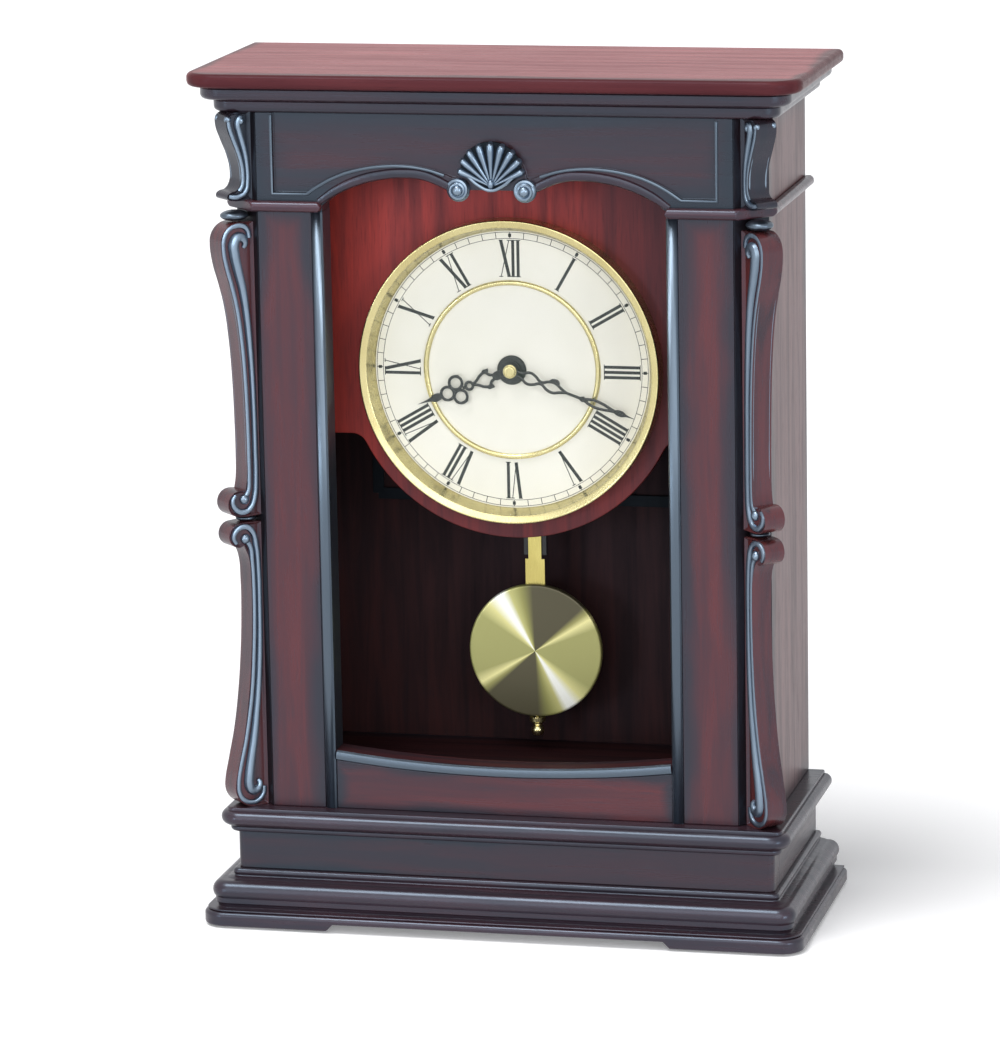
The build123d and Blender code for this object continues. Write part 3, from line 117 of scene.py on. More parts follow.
class Recipe:
    """The nodes of one material, added and joined by short calls."""

    def __init__(self, name: str) -> None:
        """Start an empty material.

        Args:
            name: the material's name.
        """
        self.material = bpy.data.materials.new(name)
        self.material.use_nodes = True
        self.tree = self.material.node_tree
        self.tree.nodes.clear()
        self.place = self.node("TexCoord").outputs["Object"]

    def node(self, kind: str, inputs: dict[Any, Any] | None = None,
             **settings: Any) -> bpy.types.Node:
        """Add a node.

        Args:
            kind: its type after "ShaderNode".
            inputs: a value, a socket or a node for each named or numbered input.
            settings: its own properties.

        Returns:
            The node.
        """
        made = self.tree.nodes.new("ShaderNode" + kind)
        for key, value in settings.items():
            setattr(made, key, value)
        for key, value in (inputs or {}).items():
            socket = made.inputs[key]
            if isinstance(value, bpy.types.Node):
                value = value.outputs[0]
            if isinstance(value, bpy.types.NodeSocket):
                self.tree.links.new(value, socket)
            elif socket.type == "RGBA" and len(value) == 3:
                socket.default_value = (*value, 1.0)
            else:
                socket.default_value = value
        return made

    def sum(self, operation: str, first: Any, second: Any = 0.0,
            third: Any = 0.0) -> bpy.types.Node:
        """A Math node, whose operation takes one, two or three values."""
        return self.node("Math", {0: first, 1: second, 2: third}, operation=operation)

    def mix(self, share: Any, first: Any, second: Any) -> bpy.types.NodeSocket:
        """Colour between two colours."""
        return self.node("Mix", {0: share, 6: first, 7: second}, data_type="RGBA").outputs[2]

    def millimetres(self, origin: Sequence[float]) -> bpy.types.Node:
        """The object's own coordinates in millimetres from an origin."""
        offset = tuple(-value for value in origin)
        return self.node("Mapping", {"Vector": self.place, "Scale": TO_MM, "Location": offset})

    def noise(self, scale: float, stretch: Sequence[float] = EVEN, detail: float = 4.0,
              roughness: float = 0.55, twist: float = 0.0) -> bpy.types.NodeSocket:
        """Noise on the object's own coordinates.

        Args:
            scale: its cells in a metre.
            stretch: share of the scale on each axis, small along the grain.
            detail: number of octaves.
            roughness: weight of the finer octaves.
            twist: its distortion.

        Returns:
            The noise.
        """
        spot = self.node("Mapping", {"Vector": self.place, "Scale": stretch})
        return self.node("TexNoise", {"Vector": spot, "Scale": scale, "Detail": detail,
                                      "Roughness": roughness, "Distortion": twist}).outputs[0]

    def between(self, value: Any, low: float, high: float, start: float = 0.0,
                end: float = 1.0) -> bpy.types.Node:
        """Map a value from one span to another, smoothly.

        Args:
            value: the value.
            low, high: the span that it comes from.
            start, end: the span that it goes to.

        Returns:
            The mapped value.
        """
        return self.node("MapRange", {0: value, 1: low, 2: high, 3: start, 4: end},
                         interpolation_type="SMOOTHSTEP")

    def bump(self, height: Any, strength: float, depth: float) -> bpy.types.Node:
        """Fine relief of the surface."""
        return self.node("Bump", {"Height": height, "Strength": strength, "Distance": depth})

    def shade(self, **sockets: Any) -> bpy.types.Material:
        """Close the recipe with the surface shader.

        Args:
            sockets: inputs of the shader, with _ for a space.

        Returns:
            The material.
        """
        named = {key.replace("_", " "): value for key, value in sockets.items()}
        surface = self.node("BsdfPrincipled", named)
        self.node("OutputMaterial", {"Surface": surface})
        return self.material


class Finish(Protocol):
    """What a piece can be dressed in."""

    @property
    def name(self) -> str:
        """Name of its material."""

    def material(self) -> bpy.types.Material:
        """Build its material."""


class Grain(Enum):
    """Direction of the wood's grain, as the stretch of its noise."""

    ACROSS = (0.06, 1.0, 1.0)
    DEEP = (1.0, 0.06, 1.0)
    UPRIGHT = (1.0, 1.0, 0.06)


@dataclass(frozen=True)
class Toning:
    """A board's rectangle, towards whose edges the colour goes darker; in millimetres. It is
    rubbed stain on most boards, painted light and shade on the dial board, painted shade on the
    case floor and partly painted reflection on the side panels.
    """

    centre: tuple[float, float, float]
    half: tuple[float, float, float]
    band: float = 11.0
    strength: float = 0.85
    wobble: ClassVar[float] = 3.0

    def share(self, recipe: Recipe, cloud: bpy.types.NodeSocket) -> bpy.types.Node:
        """Share of the darker colour, which grows towards the board's edges.

        Args:
            recipe: the material in the making.
            cloud: slow noise that makes the band uneven.

        Returns:
            The share.
        """
        spot = recipe.millimetres(self.centre)
        size = recipe.node("VectorMath", {0: spot}, operation="ABSOLUTE")
        left = recipe.node("VectorMath", {0: self.half, 1: size}, operation="SUBTRACT")
        parts = recipe.node("SeparateXYZ", {0: left}).outputs
        near = recipe.sum("MINIMUM", recipe.sum("MINIMUM", parts[0], parts[1]), parts[2])
        uneven = recipe.between(cloud, 0.3, 0.7, -self.wobble, self.wobble)
        return recipe.between(recipe.sum("ADD", near, uneven), 0.0, self.band, self.strength, 0.0)


@dataclass(frozen=True)
class StainedWood:
    """Stained and lacquered hardwood."""

    name: str
    light: Colour
    dark: Colour
    grain: Grain
    toning: Toning | None = None
    edge: Colour = srgb(26, 28, 34)
    roughness: float = 0.3
    gloss: float = 0.6
    index: float = 1.5
    figure_scale: ClassVar[float] = 150.0
    pore_scale: ClassVar[float] = 1500.0
    cloud_scale: ClassVar[float] = 16.0
    lacquer: ClassVar[Colour] = (0.62, 0.8, 1.0)

    def material(self) -> bpy.types.Material:
        """Grain, pores, edges darker from rubbed stain and, on some boards, from painted shade,
        and a satin lacquer.

        Returns:
            The material.
        """
        recipe = Recipe(self.name)
        along = self.grain.value
        figure = recipe.between(recipe.noise(self.figure_scale, along, 6.0, 0.6, 0.6), 0.32, 0.7)
        pores = recipe.between(recipe.noise(self.pore_scale, along, 3.0, 0.6), 0.52, 0.7)
        cloud = recipe.noise(self.cloud_scale, detail=2.0)
        wood = recipe.mix(figure, self.light, self.dark)
        wood = recipe.mix(recipe.sum("MULTIPLY", pores, 0.3), wood, self.edge)
        wood = recipe.mix(recipe.between(cloud, 0.35, 0.75, 0.0, 0.35), wood, self.dark)
        if self.toning:
            wood = recipe.mix(self.toning.share(recipe, cloud), wood, self.edge)
        relief = recipe.sum("ADD", recipe.sum("MULTIPLY", pores, -0.7), figure)
        sheen = recipe.between(recipe.sum("ADD", pores, figure), 0.0, 2.0,
                               self.roughness * 0.9, self.roughness * 1.25)
        return recipe.shade(Base_Color=wood, Roughness=sheen, Specular_IOR_Level=self.gloss,
                            IOR=self.index, Specular_Tint=self.lacquer,
                            Normal=recipe.bump(relief, 0.12, 0.00008))


@dataclass(frozen=True)
class Metal:
    """Lacquered brass or plated steel, fine-brushed."""

    name: str
    colour: Colour
    shadow: Colour
    roughness: float
    brushing: ClassVar[tuple[float, float, float]] = (1.0, 1.0, 0.03)
    line_scale: ClassVar[float] = 2600.0
    cloud_scale: ClassVar[float] = 40.0

    def material(self) -> bpy.types.Material:
        """Colour drifts a little with the brushing, and so does the gloss.

        Returns:
            The material.
        """
        recipe = Recipe(self.name)
        lines = recipe.noise(self.line_scale, self.brushing, 3.0, 0.6)
        cloud = recipe.noise(self.cloud_scale, detail=2.0)
        tint = recipe.mix(recipe.between(cloud, 0.35, 0.7, 0.0, 0.5), self.colour, self.shadow)
        tint = recipe.mix(recipe.between(lines, 0.4, 0.75, 0.0, 0.35), tint, self.shadow)
        gloss = recipe.between(lines, 0.3, 0.7, self.roughness * 0.8, self.roughness * 1.3)
        return recipe.shade(Base_Color=tint, Metallic=1.0, Roughness=gloss,
                            Normal=recipe.bump(lines, 0.08, 0.00003))


@dataclass(frozen=True)
class SpunBrass:
    """Brass brushed in rings, with painted highlights: bright and dark sectors whose colour is set
    by the direction from the middle.

    The sectors are (share of a half turn, colour) stops, the first and the last of one colour.
    """

    name: str
    shadow: Colour
    centre: tuple[float, float, float]
    painted_sectors: tuple[tuple[float, Colour], ...]
    ring_scale: ClassVar[float] = 14.0

    def material(self) -> bpy.types.Material:
        """Rings of brushing, and painted highlights and painted dark sectors: colours that change
        with the direction from the middle.

        Returns:
            The material.
        """
        recipe = Recipe(self.name)
        spot = recipe.millimetres(self.centre)
        parts = recipe.node("SeparateXYZ", {0: spot}).outputs
        turn = recipe.sum("ARCTAN2", parts[2], parts[0])
        flat = recipe.node("VectorMath", {0: spot, 1: (1.0, 0.0, 1.0)}, operation="MULTIPLY")
        reach = recipe.node("VectorMath", {0: flat}, operation="LENGTH").outputs["Value"]
        rings = recipe.node("TexNoise", {"W": reach, "Scale": self.ring_scale, "Detail": 4.0,
                                         "Roughness": 0.7}, noise_dimensions="1D").outputs[0]
        # Painted highlights: the colour follows the direction from the middle, not any lamp.
        phase = recipe.sum("FRACT", recipe.sum("MULTIPLY_ADD", turn, 1 / pi, 2.0))
        ramp = recipe.node("ValToRGB", {0: phase})
        stops = ramp.color_ramp.elements
        for share, colour in self.painted_sectors[1:-1]:
            stops.new(share).color = (*colour, 1.0)
        stops[0].color = stops[len(stops) - 1].color = (*self.painted_sectors[0][1], 1.0)
        tint = recipe.mix(recipe.between(rings, 0.4, 0.7, 0.0, 0.22), ramp, self.shadow)
        return recipe.shade(Base_Color=tint, Metallic=0.4, Roughness=0.36,
                            Normal=recipe.bump(rings, 0.12, 0.00003))


@dataclass(frozen=True)
class Coating:
    """An opaque finish: enamel, lacquer, moulded plastic, felt, printed ink."""

    name: str
    colour: Colour
    second: Colour
    roughness: float
    scale: float = 400.0
    relief: float = 0.05
    depth: float = 0.00003
    coat: float = 0.0
    sheen: float = 0.0

    def material(self) -> bpy.types.Material:
        """Fine mottling of colour, gloss and height.

        Returns:
            The material.
        """
        recipe = Recipe(self.name)
        fine = recipe.noise(self.scale, detail=5.0, roughness=0.65)
        cloud = recipe.noise(self.scale / 12, detail=2.0)
        tint = recipe.mix(recipe.between(cloud, 0.3, 0.75), self.colour, self.second)
        tint = recipe.mix(recipe.between(fine, 0.45, 0.75, 0.0, 0.4), tint, self.second)
        gloss = recipe.between(fine, 0.3, 0.7, self.roughness * 0.88, self.roughness * 1.12)
        return recipe.shade(Base_Color=tint, Roughness=gloss, Coat_Weight=self.coat,
                            Coat_Roughness=0.08, Sheen_Weight=self.sheen,
                            Normal=recipe.bump(fine, self.relief, self.depth))


@dataclass(frozen=True)
class ClearGlass:
    """The dial's clear cover, with a faint green cast."""

    name: str
    tint: Colour
    pale: Colour
    opacity: float

    def material(self) -> bpy.types.Material:
        """Mostly see-through, glossy, with the faintest wipe marks in its gloss.

        Returns:
            The material.
        """
        recipe = Recipe(self.name)
        wipe = recipe.noise(60.0, (1.0, 1.0, 0.3), 3.0)
        tint = recipe.mix(recipe.between(wipe, 0.3, 0.7), self.tint, self.pale)
        gloss = recipe.between(wipe, 0.3, 0.7, 0.02, 0.06)
        return recipe.shade(Base_Color=tint, Roughness=gloss, Alpha=self.opacity)


EDGE_STAIN = srgb(24, 27, 33)
RUBBED_RED = srgb(88, 32, 29)
RUBBED_DEEP = srgb(60, 24, 25)
DARK_RED = srgb(62, 29, 31)
DARK_DEEP = srgb(40, 27, 31)
MOULDED = StainedWood("moulding_stain", srgb(56, 35, 41), srgb(34, 25, 31), Grain.ACROSS)
# Near-black posts: painted shade of the deep gap between brackets and stiles.
POST_SHADE_BLACK = StainedWood("post_painted_shade", srgb(30, 20, 24), srgb(16, 15, 19), Grain.UPRIGHT,
                         gloss=0.3)
WAIST_STAIN = StainedWood("waist_stain", srgb(72, 34, 38), srgb(46, 28, 34), Grain.ACROSS)
CARVED = StainedWood("carving_stain", srgb(24, 25, 31), srgb(15, 17, 22), Grain.UPRIGHT,
                     roughness=0.36, gloss=1.0, index=1.75)
SCROLLED = StainedWood("scroll_stain", srgb(34, 36, 44), srgb(24, 27, 34), Grain.UPRIGHT,
                       roughness=0.34, gloss=1.0, index=2.3)
LEDGE = StainedWood("ledge_stain", DARK_RED, DARK_DEEP, Grain.ACROSS, roughness=0.65, gloss=0.1)
# Near black: painted shade, for the shell's hollows and the stops behind the door gap.
PAINTED_SHADE_BLACK = StainedWood("painted_shade_black", srgb(14, 15, 19), srgb(8, 9, 12), Grain.UPRIGHT,
                     roughness=0.6, gloss=0.2)
UPPER_STAIN = StainedWood("upper_bracket_stain", srgb(40, 27, 32), srgb(24, 21, 27),
                          Grain.UPRIGHT)
RIBBON = StainedWood("ribbon_stain", srgb(88, 38, 37), srgb(52, 28, 30), Grain.UPRIGHT,
                     roughness=0.26)
POLISHED = Metal("polished_brass", srgb(210, 199, 148), srgb(178, 163, 108), 0.26)
DARK_BRASS = Metal("dark_brass", srgb(120, 92, 52), srgb(70, 52, 34), 0.3)
ROD_GOLD = Metal("rod_gold", srgb(205, 192, 118), srgb(150, 132, 72), 0.3)
STEEL = Metal("screw_steel", srgb(176, 174, 168), srgb(110, 108, 104), 0.3)
INK = Coating("dial_ink", srgb(10, 11, 12), srgb(18, 18, 19), 0.5)
HAND_LACQUER = Coating("hand_lacquer", srgb(8, 8, 9), srgb(16, 15, 17), 0.34, 600.0)
ENAMEL = Coating("dial_enamel", srgb(227, 223, 212), srgb(220, 216, 203), 0.5, 300.0, 0.03)
PLASTIC = Coating("movement_plastic", srgb(30, 30, 32), srgb(20, 20, 22), 0.5, 2500.0, 0.3, 0.0001)
KNOB_PLASTIC = Coating("knob_plastic", srgb(58, 58, 62), srgb(40, 40, 44), 0.42, 2500.0, 0.2,
                       0.00008)
FELT = Coating("felt", srgb(24, 44, 32), srgb(38, 60, 46), 0.95, 2200.0, 0.6, 0.0003, sheen=0.4)
SLEEVE = Coating("cell_sleeve", srgb(60, 66, 72), srgb(40, 44, 50), 0.3, 300.0, coat=0.5)
GLASS = ClearGlass("dial_glass", (0.3, 0.42, 0.34), (0.4, 0.5, 0.44), 0.03)


class Blank:
    """A shape in the making, in millimetres in the clock's own frame."""

    made: ClassVar[dict[str, bpy.types.Material]] = {}
    arris_angle: ClassVar[float] = 25.0
    crisp_angle: ClassVar[float] = 40.0

    def __init__(self) -> None:
        """Start with nothing."""
        self.bm = bmesh.new()

    @classmethod
    def of_node(cls, node: str) -> Blank:
        """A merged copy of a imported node, with its flat facets joined.

        Args:
            node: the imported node's name.

        Returns:
            The copy.
        """
        blank = cls()
        blank.bm.from_mesh(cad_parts[node].data)
        bmesh.ops.scale(blank.bm, vec=TO_MM, verts=blank.bm.verts[:])
        bmesh.ops.remove_doubles(blank.bm, verts=blank.bm.verts[:], dist=0.002)
        bmesh.ops.dissolve_limit(blank.bm, angle_limit=radians(1), verts=blank.bm.verts[:],
                                 edges=blank.bm.edges[:])
        return blank

    @classmethod
    def turned(cls, profile: Sequence[Knot], steps: int = 64, closed: bool = False) -> Blank:
        """A shape turned about the upright axis.

        Args:
            profile: its outline as (radius, height) points.
            steps: segments of a full turn.
            closed: whether the outline comes back to its start, as a ring's does.

        Returns:
            The shape.
        """
        blank = cls()
        corners = [blank.bm.verts.new((radius, 0.0, height)) for radius, height in profile]
        ends = corners[1:] + corners[:1] if closed else corners[1:]
        edges = [blank.bm.edges.new(pair) for pair in zip(corners, ends)]
        bmesh.ops.spin(blank.bm, geom=corners + edges, cent=(0, 0, 0), axis=(0, 0, 1),
                       angle=2 * pi, steps=steps, use_merge=True)
        bmesh.ops.remove_doubles(blank.bm, verts=blank.bm.verts[:], dist=0.001)
        bmesh.ops.recalc_face_normals(blank.bm, faces=blank.bm.faces[:])
        return blank

    @classmethod
    def from_curve(cls, runs: Iterable[Sequence[Knot]], closed: bool, resolution: int = 6,
                   **settings: Any) -> Blank:
        """A mesh of one or more curves through points in the first two axes.

        Args:
            runs: the points of each curve; a fourth value in a point makes it a sharp corner, and
                a third is the height there.
            closed: whether each comes back to its start.
            resolution: steps between two points.
            settings: the curve's own properties, such as its bevel depth or fill.

        Returns:
            The shape.
        """
        curve = bpy.data.curves.new("line", "CURVE")
        curve.dimensions = settings.pop("dimensions", "3D")
        curve.resolution_u = resolution
        for run in runs:
            spline = curve.splines.new("BEZIER")
            spline.bezier_points.add(len(run) - 1)
            spline.use_cyclic_u = closed
            for spot, knot in zip(spline.bezier_points, run):
                spot.co = (knot[0], knot[1], knot[2] if len(knot) > 2 else 0.0)
                kind = "VECTOR" if len(knot) > 3 else "AUTO"
                spot.handle_left_type = spot.handle_right_type = kind
        radii = settings.pop("radii", None)
        for key, value in settings.items():
            setattr(curve, key, value)
        if radii:
            for spline in curve.splines:
                for spot, radius in zip(spline.bezier_points, radii):
                    spot.radius = radius
        holder = bpy.data.objects.new("line", curve)
        bpy.context.scene.collection.objects.link(holder)
        mesh = bpy.data.meshes.new_from_object(holder)
        blank = cls()
        blank.bm.from_mesh(mesh)
        bpy.data.objects.remove(holder)
        bpy.data.curves.remove(curve)
        bpy.data.meshes.remove(mesh)
        bmesh.ops.remove_doubles(blank.bm, verts=blank.bm.verts[:], dist=0.001)
        return blank

    @classmethod
    def bead(cls, path: Sequence[Knot], radius: float, closed: bool = False,
             radii: Sequence[float] | None = None, resolution: int = 5) -> Blank:
        """A round bead along a path, capped at its ends; radii are shares of its radius."""
        return cls.from_curve([path], closed, resolution, bevel_depth=radius, bevel_resolution=2,
                              use_fill_caps=not closed, radii=radii)

    @classmethod
    def swelling(cls, path: Sequence[Knot]) -> Blank:
        """A round bead through (aside, along, radius) points."""
        return cls.bead([knot[:2] for knot in path], 1.0, radii=[knot[2] for knot in path])

    @classmethod
    def slab(cls, outline: Sequence[Knot], thickness: float, rim: float = 0.0,
             relief: float = 0.0, resolution: int = 6) -> Blank:
        """A flat shape of even thickness, with both faces sunk inside a rim if asked.

        Args:
            outline: the points of its outline.
            thickness: from face to face, with the plane midway.
            rim: width of the rim round each face.
            relief: depth of the sunk faces.
            resolution: steps between two points.

        Returns:
            The shape.
        """
        blank = cls.from_curve([outline], True, resolution)
        bmesh.ops.edgeloop_fill(blank.bm, edges=blank.bm.edges[:])
        grown = bmesh.ops.extrude_face_region(blank.bm, geom=blank.bm.faces[:])
        upper = [item for item in grown["geom"] if isinstance(item, bmesh.types.BMVert)]
        bmesh.ops.translate(blank.bm, vec=(0, 0, thickness), verts=upper)
        bmesh.ops.translate(blank.bm, vec=(0, 0, -thickness / 2), verts=blank.bm.verts[:])
        bmesh.ops.recalc_face_normals(blank.bm, faces=blank.bm.faces[:])
        if rim:
            faces = [face for face in blank.bm.faces if len(face.verts) > 4]
            bmesh.ops.inset_region(blank.bm, faces=faces, thickness=rim, depth=-relief,
                                   use_boundary=True, use_even_offset=True)
        return blank

    @classmethod
    def moulded(cls, profile: Sequence[Knot], corner: float, front_extra: float = 0.0) -> Blank:
        """A board with a moulded edge round its front and sides and a plain back.

        Args:
            profile: the edge as (reach beyond the body, height) points, from the lowest up.
            corner: radius of the front corners in plan, at the profile's first point.
            front_extra: further reach at the front.

        Returns:
            The board.
        """
        blank = cls()
        reach, height = profile[0]
        half = BODY_HALF + reach
        depth = BACK_Y - FRONT_Y + reach + front_extra
        spread = move(0, BACK_Y, height) @ Matrix.Diagonal((half, depth, 1, 1))
        bmesh.ops.create_grid(blank.bm, x_segments=1, y_segments=1, size=1.0, matrix=spread)
        bmesh.ops.bevel(blank.bm, geom=blank.bm.verts[:], offset=corner, offset_type="OFFSET",
                        segments=7, profile=0.5, affect="VERTICES", material=-1)
        top = blank.bm.faces[:]
        for (reach, height), (next_reach, next_height) in zip(profile, profile[1:]):
            bmesh.ops.inset_region(blank.bm, faces=top, thickness=reach - next_reach,
                                   depth=next_height - height, use_boundary=True,
                                   use_even_offset=True)
        blank.close()
        blank.slice((0, BACK_Y, 0), (0, 1, 0))
        return blank

    @classmethod
    def ball(cls, centre: Sequence[float], size: Sequence[float], steps: int = 20) -> Blank:
        """A ball or an egg.

        Args:
            centre: its centre.
            size: its half lengths along the axes.
            steps: its segments about the upright axis.

        Returns:
            The shape.
        """
        blank = cls()
        bmesh.ops.create_uvsphere(blank.bm, u_segments=steps, v_segments=steps // 2, radius=1.0,
                                  matrix=move(*centre) @ Matrix.Diagonal((*size, 1)))
        return blank

    def close(self) -> None:
        """Fill the open loops and turn all faces outwards."""
        bmesh.ops.holes_fill(self.bm, edges=[edge for edge in self.bm.edges if edge.is_boundary])
        bmesh.ops.recalc_face_normals(self.bm, faces=self.bm.faces[:])

    def score(self, point: Sequence[float], normal: Sequence[float], clear: bool = False) -> None:
        """Cut the faces along a plane.

        Args:
            point: a point of the plane.
            normal: the direction that the plane faces.
            clear: whether what lies beyond the plane is cleared away.
        """
        every = self.bm.verts[:] + self.bm.edges[:] + self.bm.faces[:]
        bmesh.ops.bisect_plane(self.bm, geom=every, dist=0.0001, plane_co=point, plane_no=normal,
                               clear_outer=clear)

    def slice(self, point: Sequence[float], normal: Sequence[float]) -> None:
        """Cut off what lies beyond a plane, and close the cut."""
        self.score(point, normal, True)
        self.close()

    def bar(self, start: Knot, end: Knot, width: float, low: float, high: float) -> Blank:
        """Add a straight bar between two points of the plane.

        Args:
            start, end: the middles of its two ends.
            width: its width.
            low, high: heights of its underside and its top.

        Returns:
            This shape, with the bar.
        """
        across, along = end[0] - start[0], end[1] - start[1]
        spot = move((start[0] + end[0]) / 2, (start[1] + end[1]) / 2, (low + high) / 2)
        turn = Matrix.Rotation(-atan2(across, along), 4, "Z")
        bmesh.ops.create_cube(self.bm, size=1.0, matrix=spot @ turn @ Matrix.Diagonal(
            (width, hypot(across, along), high - low, 1)))
        return self

    def place(self, matrix: Matrix) -> Blank:
        """Move, turn or scale the whole shape.

        Args:
            matrix: the change; where it mirrors the shape, the faces are turned over.

        Returns:
            This shape.
        """
        bmesh.ops.transform(self.bm, matrix=matrix, verts=self.bm.verts[:])
        if matrix.determinant() < 0:
            bmesh.ops.reverse_faces(self.bm, faces=self.bm.faces[:])
        return self

    def add(self, *others: Blank) -> Blank:
        """Join other shapes to this one.

        Args:
            others: the shapes, which stay as they are.

        Returns:
            This shape, with theirs.
        """
        for other in others:
            mesh = bpy.data.meshes.new("joined")
            other.bm.to_mesh(mesh)
            self.bm.from_mesh(mesh)
            bpy.data.meshes.remove(mesh)
        return self

    def copy(self, matrix: Matrix | None = None) -> Blank:
        """Another of the same shape, placed by a matrix."""
        twin = Blank().add(self)
        return twin.place(matrix) if matrix else twin

    def both_sides(self) -> Blank:
        """Join the shape's mirror image on the clock's other side."""
        return self.add(self.copy(OTHER_SIDE))

    def both_corners(self) -> Blank:
        """The shape, drawn in a bracket's plane, on both canted corners."""
        return Blank().add(*[self.copy(canted(sign)) for _, sign in SIDES])

    def piece(self, name: str, finish: Finish, body: str = "case", slot: str = "",
              nodes: Sequence[str] = (), soften: float = 0.0) -> None:
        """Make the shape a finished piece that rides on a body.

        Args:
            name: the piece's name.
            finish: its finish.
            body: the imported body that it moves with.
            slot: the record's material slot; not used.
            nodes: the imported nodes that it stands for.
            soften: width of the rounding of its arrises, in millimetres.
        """
        bmesh.ops.scale(self.bm, vec=(MM,) * 3, verts=self.bm.verts[:])
        mesh = bpy.data.meshes.new(name)
        self.bm.to_mesh(mesh)
        self.bm.free()
        mesh.shade_smooth()
        if finish.name not in self.made:
            self.made[finish.name] = finish.material()
        mesh.materials.append(self.made[finish.name])
        made = bpy.data.objects.new(name, mesh)
        bpy.context.scene.collection.objects.link(made)
        if soften:
            rounding = made.modifiers.new("arris", "BEVEL")
            rounding.width, rounding.segments = soften * MM, 3
            rounding.limit_method, rounding.angle_limit = "ANGLE", radians(self.arris_angle)
            made.modifiers.new("even", "WEIGHTED_NORMAL").keep_sharp = True
        else:
            mesh.set_sharp_from_angle(angle=radians(self.crisp_angle))
        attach(made, body)
        if nodes:
            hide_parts(*nodes)
        log.info("%s: %d faces on %s", name, len(mesh.polygons), body)


def dress(node: str, name: str, finish: Finish, slot: str, soften: float,
          body: str = "case") -> None:
    """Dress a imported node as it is, with its arrises softened by some millimetres."""
    Blank.of_node(node).piece(name, finish, body, slot, [node], soften)


@dataclass
class MouldedBoards:
    """Foot, base moulding, sill, cornice and top board, all moulded round the front and sides."""

    foot_reach: float = 16.7
    foot_extra: float = 1.3
    foot_inner: float = 75.0
    apron_half: float = 72.1
    apron_rise: float = 2.9
    ogee_reach: float = 12.7
    quirk_reach: float = 5.4
    sill_reach: float = 10.0
    cornice_extra: float = -4.6
    top_reach: float = 16.7

    def build(self) -> None:
        """Build and dress the boards and the pads."""
        self.pads()
        self.foot()
        self.base()
        self.sill()
        self.cornice()
        self.top()

    def pads(self) -> None:
        """Square felt pads with soft corners."""
        dress("felt_pads", "pads_of_felt", FELT, "felt", 0.3)

    def foot(self) -> None:
        """Foot plate with its low apron cut between two feet."""
        reach = self.foot_reach
        plate = Blank.moulded([(reach - 0.5, 1.0), (reach, 1.5),
                               *arc((reach - 1.8, 5.2), 1.8, 0, 90, 6)], 9.5, self.foot_extra)
        for x in (-self.foot_inner, -self.apron_half, self.apron_half, self.foot_inner):
            plate.score((x, 0, 0), (1, 0, 0))
        apron = [vert for vert in plate.bm.verts
                 if abs(vert.co.x) < self.apron_half + 0.1 and vert.co.z < 2.0]
        bmesh.ops.translate(plate.bm, vec=(0, 0, self.apron_rise), verts=apron)
        plate.piece("foot_board", MOULDED, slot="stained_wood", nodes=["foot_plate"], soften=0.35)

    def base(self) -> None:
        """Base moulding: flange, cove, broad ogee, and the small bead at the plinth."""
        reach = self.ogee_reach
        edge = [(15.1, 7.0), (15.6, 7.4), (15.6, 7.8), (15.2, 8.0), (reach - 1.6, 8.05),
                *arc((reach + 0.6, 8.25), 2.2, 180, 120, 3)[1:]]
        edge += arc((reach - 3.7, 15.2), 4.3, -42, 90, 9)
        moulding = Blank.moulded(edge, 9.5, self.foot_extra)
        quirk = self.quirk_reach
        moulding.add(Blank.moulded([(quirk + 3.0, 19.4), (quirk + 1.2, 19.9), (quirk - 0.3, 20.2),
                                    *arc((quirk - 1.6, 21.9), 1.6, -50, 90, 7)], 6.0))
        moulding.piece("base_mouldings", MOULDED, slot="stained_wood", nodes=["base_moulding"],
                       soften=0.15)

    def sill(self) -> None:
        """Sill: neck bead, broad nosing and thin step."""
        neck, nose = 6.2, self.sill_reach
        edge = [(neck - 2.2, 40.0), *arc((neck - 1.5, 41.6), 1.5, -80, 50, 6), (neck - 0.9, 42.9)]
        edge += arc((nose - 3.1, 46.3), 3.25, -80, 80, 10)
        board = Blank.moulded(edge, 3.0)
        board.add(Blank.moulded([(7.0, 49.4), (7.0, 50.3), (6.8, 50.8), (6.3, 51.0)], 4.0))
        board.piece("sill", MOULDED, slot="stained_wood", nodes=["sill_board"], soften=0.12)

    def cornice(self) -> None:
        """Cornice in two coved steps."""
        board = Blank.moulded([(4.4, 351.0), *arc((4.4, 353.2), 2.2, -80, 0, 6), (6.6, 355.4),
                               (6.2, 356.2), (6.2, 356.7)], 6.0, self.cornice_extra)
        board.add(Blank.moulded([(8.6, 356.3), *arc((9.4, 358.6), 2.2, -90, 0, 6), (11.6, 361.0),
                                 (11.2, 361.5), (11.2, 362.0)], 8.0, self.cornice_extra))
        board.piece("cornice_mouldings", MOULDED, slot="stained_wood", nodes=["cornice"],
                    soften=0.12)

    def top(self) -> None:
        """Top board with a rounded nosing."""
        reach = self.top_reach
        edge = [(reach - 2.6, 362.0), *arc((reach - 2.4, 364.4), 2.4, -85, 0, 6),
                *arc((reach - 2.4, 365.6), 2.4, 5, 90, 6)]
        # Partly the top's own lighter stain, partly painted light: its colour is raised for the
        # light falling on it from above.
        finish = StainedWood("top_stain_and_painted_light", srgb(158, 78, 80), srgb(126, 58, 62), Grain.ACROSS,
                             Toning((0, 12.0, 365.0), (130.0, 57.5, FREE), 5.0, 0.8),
                             srgb(56, 30, 34), gloss=0.05)
        Blank.moulded(edge, 11.4, self.cornice_extra).piece(
            "top", finish, slot="stained_wood", nodes=["top_board"], soften=0.1)


